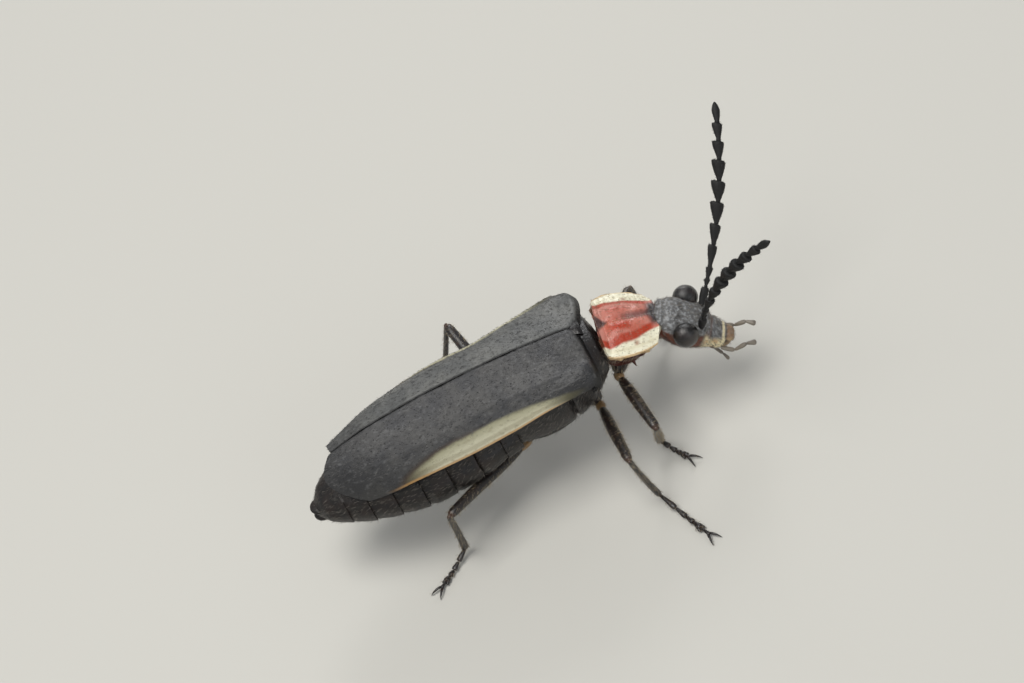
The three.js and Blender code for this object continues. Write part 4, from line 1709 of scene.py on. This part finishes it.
@dataclass
class Legs:
    """The six legs, each of root joint, collar, thigh, shin, five foot joints and two claws."""

    bench: Bench
    paths: dict[str, LegPath] = field(
        default_factory=lambda: {
            "front_right": LegPath(
                (1.15, -0.5, -1.3), (0.56, -0.77, -2.11), (0.84, -3.72, -2.25), (0.82, -2.11, -4.86),
                (1.47, -3.21), 0.23, 0.15),
            "front_left": LegPath(
                (1.25, 0.3, -1.3), (0.8, 0.72, -2.11), (2.42, 2.7, -2.25), (2.6, 2.18, -4.86),
                (3.75, 2.53), 0.23, 0.15),
            "middle_right": LegPath(
                (-0.7, -0.6, -2.1), (-0.49, -1.05, -2.74), (-0.53, -4.35, -2.39), (-0.11, -4.28, -4.9),
                (0.77, -6.72), 0.22, 0.145),
            "middle_left": LegPath(
                (-0.8, 0.6, -2.1), (-0.75, 1.05, -2.74), (-1.58, 3.86, -2.53), (-2.1, 3.93, -4.9),
                (-2.63, 5.61), 0.22, 0.145),
            "hind_right": LegPath(
                (-2.95, -0.5, -2.2), (-3.33, -0.68, -3.2), (-7, -2.85, -2.3), (-7.09, -2.3, -4.9),
                (-8.49, -3.23), 0.245, 0.14),
            "hind_left": LegPath(
                (-2.95, 0.5, -2.2), (-3.2, 0.8, -3.15), (-4.04, 4.77, -1.75), (-5.26, 4.9, -4.9),
                (-6.5, 5.9), 0.245, 0.14),
        }
    )
    foot_shares: tuple[float, ...] = (0.32, 0.2, 0.15, 0.15, 0.18)
    claw: float = 0.4
    sole: float = 0.13

    def rod(
        self,
        start: Vector,
        end: Vector,
        profile: Stations,
        half: float,
        tag: float,
        bow: float = 0.0,
        flat: float = 0.85,
    ) -> Piece:
        """Build one leg piece as a rod of varying width.

        Args:
            start: Its root.
            end: Its tip.
            profile: Share of its length and of its half-width, pair by pair.
            half: Its half-width.
            tag: How warm its colour is.
            bow: How far its middle stands up.
            flat: Its depth beside its width.

        Returns:
            The rod, in the beetle's frame.
        """
        long = (end - start).length
        rings = [
            Ring((0, bow * math.sin(math.pi * share), share * long), half * wide, half * wide * flat)
            for share, wide in profile
        ]
        piece = self.bench.drawn_out("rod", rings, 10)
        for vertex in piece.data.vertices:
            vertex.co.x += 0.012 * noise.noise(vertex.co * 5)
        self.bench.keep_own(piece, tag)
        for item in piece.data.attributes["own"].data:
            item.vector[2] /= long
        side = Vector((0, 0, 1)).cross(end - start)
        return self.bench.moved(piece, along(start, end, side))

    def foot(self, ankle: Vector, toe: Vector) -> list[Piece]:
        """Build the five foot joints and the claws.

        Args:
            ankle: Where the foot begins.
            toe: Where its claws' root ends, at the feet's height.

        Returns:
            The foot's pieces.
        """
        pieces = []
        gone = 0.0
        places = [ankle]
        for share in self.foot_shares:
            gone += share
            place = ankle.lerp(toe, gone)
            place.z = max(toe.z, ankle.z + (toe.z - ankle.z) * min(1.0, gone / 0.55))
            places.append(place)
        for k, (a, b) in enumerate(pairwise(places)):
            if k == 3:
                profile = ((0, 0.5), (0.2, 0.8), (0.6, 1.2), (0.9, 1.35), (1.02, 0.9))
                pieces += [self.lobe(a, b, side) for side in Side]
            elif k == 4:
                profile = ((-0.2, 0.4), (0.1, 0.45), (0.6, 0.6), (0.9, 0.8), (1.0, 0.6))
            else:
                profile = ((0, 0.5), (0.15, 0.65), (0.6, 0.95), (0.88, 1.15), (0.99, 0.8))
            pieces.append(self.rod(a, b, profile, 0.11, 0.0, 0.0, 0.8))
        pieces += [self.hook(places[-2], places[-1], side) for side in Side]
        return pieces

    def lobe(self, start: Vector, end: Vector, side: Side) -> Piece:
        """One of the two pads of the fourth foot joint."""
        ahead = (end - start).normalized()
        aside = ahead.cross(Vector((0, 0, 1))).normalized() * side.value
        tip = end + ahead * 0.1 + aside * 0.12 - Vector((0, 0, 0.03))
        return self.rod(start.lerp(end, 0.35), tip, ((0, 0.6), (0.5, 1.0), (0.85, 0.8), (1, 0.3)), 0.075, 0.0)

    def hook(self, start: Vector, end: Vector, side: Side) -> Piece:
        """One curved claw.

        Args:
            start: Root of the last foot joint.
            end: Its tip.
            side: Which claw of the two.

        Returns:
            The claw.
        """
        ahead = (end - start).normalized()
        aside = ahead.cross(Vector((0, 0, 1))).normalized() * side.value
        tip = end + ahead * self.claw + aside * 0.22
        tip.z = FLOOR + 0.035
        root = end - ahead * 0.06 + aside * 0.03
        return self.rod(root, tip, ((0, 1.0), (0.3, 0.9), (0.65, 0.6), (0.9, 0.3), (1, 0.1)), 0.06, 0.2, 0.09)

    def leg(self, name: str, material: Material, coat: Coat) -> Piece:
        """Build one leg with its fringe of hairs.

        Args:
            name: The leg's name in paths.
            material: Its finish.
            coat: The coat that its hairs join.

        Returns:
            The leg.
        """
        path = self.paths[name]
        coxa, hip, knee, ankle = (Vector(p) for p in (path.coxa, path.hip, path.knee, path.ankle))
        toe = Vector((*path.toe, FLOOR + self.sole))
        thigh_start = hip.lerp(knee, 0.09)
        pieces = [
            self.rod(coxa, hip, ((0, 1.0), (0.3, 1.15), (0.7, 1.0), (1.0, 0.6)), 0.36, 0.45),
            self.rod(
                hip.lerp(knee, -0.03), hip.lerp(knee, 0.12),
                ((0, 0.6), (0.3, 1), (0.75, 0.95), (1, 0.6)),
                0.2, 1.0),
            self.rod(
                thigh_start, knee,
                ((0, 0.55), (0.06, 0.8), (0.3, 1.05), (0.6, 1.0), (0.85, 0.82), (0.95, 0.85), (1.0, 0.55)),
                path.thigh, 0.0, 0.06),
            self.rod(
                knee.lerp(ankle, -0.02), ankle,
                ((0, 0.7), (0.05, 0.95), (0.12, 0.85), (0.5, 0.95), (0.85, 1.1), (0.97, 1.15), (1.0, 0.7)),
                path.shin, 0.1, -0.04, 0.8),
            *self.spurs(knee, ankle),
            *self.foot(ankle, toe),
        ]
        piece = self.bench.joined(f"dressed_leg_{name}", pieces)
        lie = tuple((ankle - knee).normalized() + (knee - hip).normalized() * 0.6)
        cell = (list(self.paths).index(name), 3)
        fur = Fur(
            coat, count=1300, length=0.14, width=0.01, lie=lie, rise=0.42, cell=cell,
            keep=lambda place, normal: (place - toe).xy.length > 0.25,
        )
        return self.bench.finish(piece, material, "leg", [f"leg_{name}"], fur)

    def spurs(self, knee: Vector, ankle: Vector) -> list[Piece]:
        """Two short spines at the shin's end.

        Args:
            knee: The shin's upper end.
            ankle: Its lower end.

        Returns:
            The two spines.
        """
        made = []
        down = (ankle - knee).normalized()
        aside = down.cross(Vector((0, 0, 1))).normalized()
        for sign in (-1, 1):
            root = ankle - down * 0.1 + aside * sign * 0.09
            tip = root + down * 0.22 + aside * sign * 0.07
            made.append(self.rod(root, tip, ((0, 1), (0.5, 0.7), (1, 0.1)), 0.03, 0.3))
        return made


@dataclass
class Studio:
    """Plain pale floor, soft light and the camera at the picture's viewing angle."""

    bench: Bench
    tilt: float = 42.0
    heading: tuple[float, float] = (0.885, 0.465)
    distance: float = 147.0
    scale: float = 28.5
    aim: tuple[float, float] = (65.6, 10.5)
    picture: tuple[int, int] = (1024, 683)
    sky: float = 0.36

    def axes(self) -> tuple[Vector, Vector, Vector]:
        """Work out how the picture lies.

        Returns:
            Its right, its down and the way back to the camera.
        """
        tilt = math.radians(self.tilt)
        down = Vector((0, -math.cos(tilt), -math.sin(tilt)))
        level, fall = self.heading
        right = (Vector((level, 0, 0)) + down * fall).normalized()
        below = (Vector((-fall, 0, 0)) + down * level).normalized()
        return right, below, Vector((0, -math.sin(tilt), math.cos(tilt)))

    def camera(self) -> None:
        """Set the camera up."""
        right, below, back = self.axes()
        spot = back * self.distance - right * (self.aim[0] / self.scale) + below * (self.aim[1] / self.scale)
        data = bpy.data.cameras.new("camera")
        data.sensor_fit = "HORIZONTAL"
        data.sensor_width = 36
        data.lens = self.scale * self.distance * data.sensor_width / self.picture[0]
        data.clip_start = 0.001
        data.clip_end = 10
        camera = bpy.data.objects.new("camera", data)
        turn = Matrix((right, -below, back)).transposed().to_4x4()
        camera.matrix_world = Matrix.Translation(self.bench.origin + spot * MM) @ turn
        bpy.context.collection.objects.link(camera)
        bpy.context.scene.camera = camera

    def floor(self) -> None:
        """Lay the floor, which falls away to every side under even light."""
        self.bench.clear()
        bpy.ops.mesh.primitive_plane_add(size=3.0, location=(0, 0, 0))
        floor = bpy.context.object
        floor.name = "floor"
        paint = Paint("floor")
        pale = paint.surface(tint(206, 204, 197), 0.85, None, 0, Specular_Ior_Level=0.15)
        floor.data.materials.append(pale)
        floor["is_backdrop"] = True

    def lamp(self, name: str, place: Triple, size: float, power: float, colour: Triple) -> None:
        """Hang one soft square lamp that looks at the beetle.

        Args:
            name: The lamp's name.
            place: Where it hangs, in metres from the beetle.
            size: Its side in metres.
            power: Its power in watts.
            colour: Its colour.
        """
        data = bpy.data.lights.new(name, "AREA")
        data.shape = "SQUARE"
        data.size = size
        data.energy = power
        data.color = colour
        lamp = bpy.data.objects.new(name, data)
        lamp.location = self.bench.origin + Vector(place)
        lamp.rotation_euler = Vector(place).to_track_quat("Z", "Y").to_euler()
        bpy.context.collection.objects.link(lamp)

    def light(self) -> None:
        """Light the scene softly from above and a little from the camera's side."""
        world = bpy.data.worlds.new("world")
        world.use_nodes = True
        world.node_tree.nodes["Background"].inputs["Color"].default_value = (0.93, 0.96, 1.0, 1)
        world.node_tree.nodes["Background"].inputs["Strength"].default_value = self.sky
        bpy.context.scene.world = world
        self.lamp("key", (-0.03, -0.01, 0.14), 0.09, 0.15, (1.0, 0.985, 0.95))
        self.lamp("fill", (0.06, -0.15, 0.07), 0.1, 0.035, (0.95, 0.98, 1.0))
        self.lamp("rim", (0.05, 0.14, 0.08), 0.06, 0.07, (1.0, 1.0, 1.0))
        bpy.context.scene.view_settings.view_transform = "Standard"


def main() -> None:
    """Build the beetle, dress it and set up the studio."""
    logging.basicConfig(level=logging.INFO, format="%(message)s")
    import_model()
    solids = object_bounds()
    bench = Bench(solids)
    leg_paint = LegFinish().material()
    mouth_paint = HornFinish("mouth", tint(132, 124, 112), tint(60, 50, 42), 0.3, 12, 0.008).material()
    shell_paint = HornFinish("shell", tint(18, 15, 15), tint(40, 32, 28), 0.25, 9, 0.03).material()
    belly_paint = HornFinish("belly", tint(18, 14, 12), tint(40, 29, 23), 0.36, 9, 0.03).material()
    fore_paint = HornFinish("shield_body", tint(76, 28, 18), tint(30, 14, 10), 0.25, 9).material()
    horn_paint = HornFinish("antenna", tint(11, 10, 10), tint(20, 18, 18), 0.55, 16, 0.01).material()

    body_hair = HairFinish("body_hair", tint(132, 126, 118), tint(62, 56, 50)).material()
    case_hair = HairFinish("case_hair", tint(128, 126, 124), tint(60, 58, 56)).material()
    leg_hair = HairFinish("leg_hair", tint(168, 154, 130), tint(104, 90, 70)).material()
    horn_hair = HairFinish("antenna_hair", tint(38, 36, 35), tint(18, 17, 17)).material()

    wings = WingCases(bench)
    coat = Coat(bench, "wing_case_hair")
    wings.wing_case(Side.RIGHT, WingCaseFinish(0.69).material(), coat)
    # Painted light: the left wing case takes a lighter copy of the same finish.
    left_case_painted_lighter = WingCaseFinish(0.45, tint(84, 85, 84), dusty=tint(104, 104, 101))
    wings.wing_case(Side.LEFT, left_case_painted_lighter.material(), coat)
    wings.scutellum(shell_paint)
    wings.folded_wings(HornFinish("folded_wing", tint(46, 40, 37), tint(84, 74, 66), 0.3, 7, 0.02).material())
    coat.piece(case_hair, "wing_case")

    trunk = Trunk(bench)
    coat = Coat(bench, "belly_hair")
    trunk.breast(shell_paint, coat)
    trunk.belly(belly_paint, coat)
    coat.piece(body_hair, "belly")

    shield = Shield(bench)
    coat = Coat(bench, "shield_hair")
    shield.disc(ShieldFinish().material(), coat)
    shield.body(fore_paint, coat)
    coat.piece(leg_hair, "shield")

    head = Head(bench)
    coat = Coat(bench, "head_hair")
    head.skull(HeadFinish().material(), coat)
    coat.piece(body_hair, "head")
    eye_paint = EyeFinish().material()
    for side in Side:
        head.eyeball(side, eye_paint)
    head.feelers(mouth_paint)

    coat = Coat(bench, "antenna_hair")
    for side in Side:
        Antenna(bench, head, side).build(horn_paint, coat)
    coat.piece(horn_hair, "antenna")

    legs = Legs(bench)
    coat = Coat(bench, "leg_hair")
    for name in legs.paths:
        legs.leg(name, leg_paint, coat)
    coat.piece(leg_hair, "leg")

    studio = Studio(bench)
    studio.floor()
    studio.light()
    studio.camera()
    bench.clear()


if __name__ == "__main__":
    main()
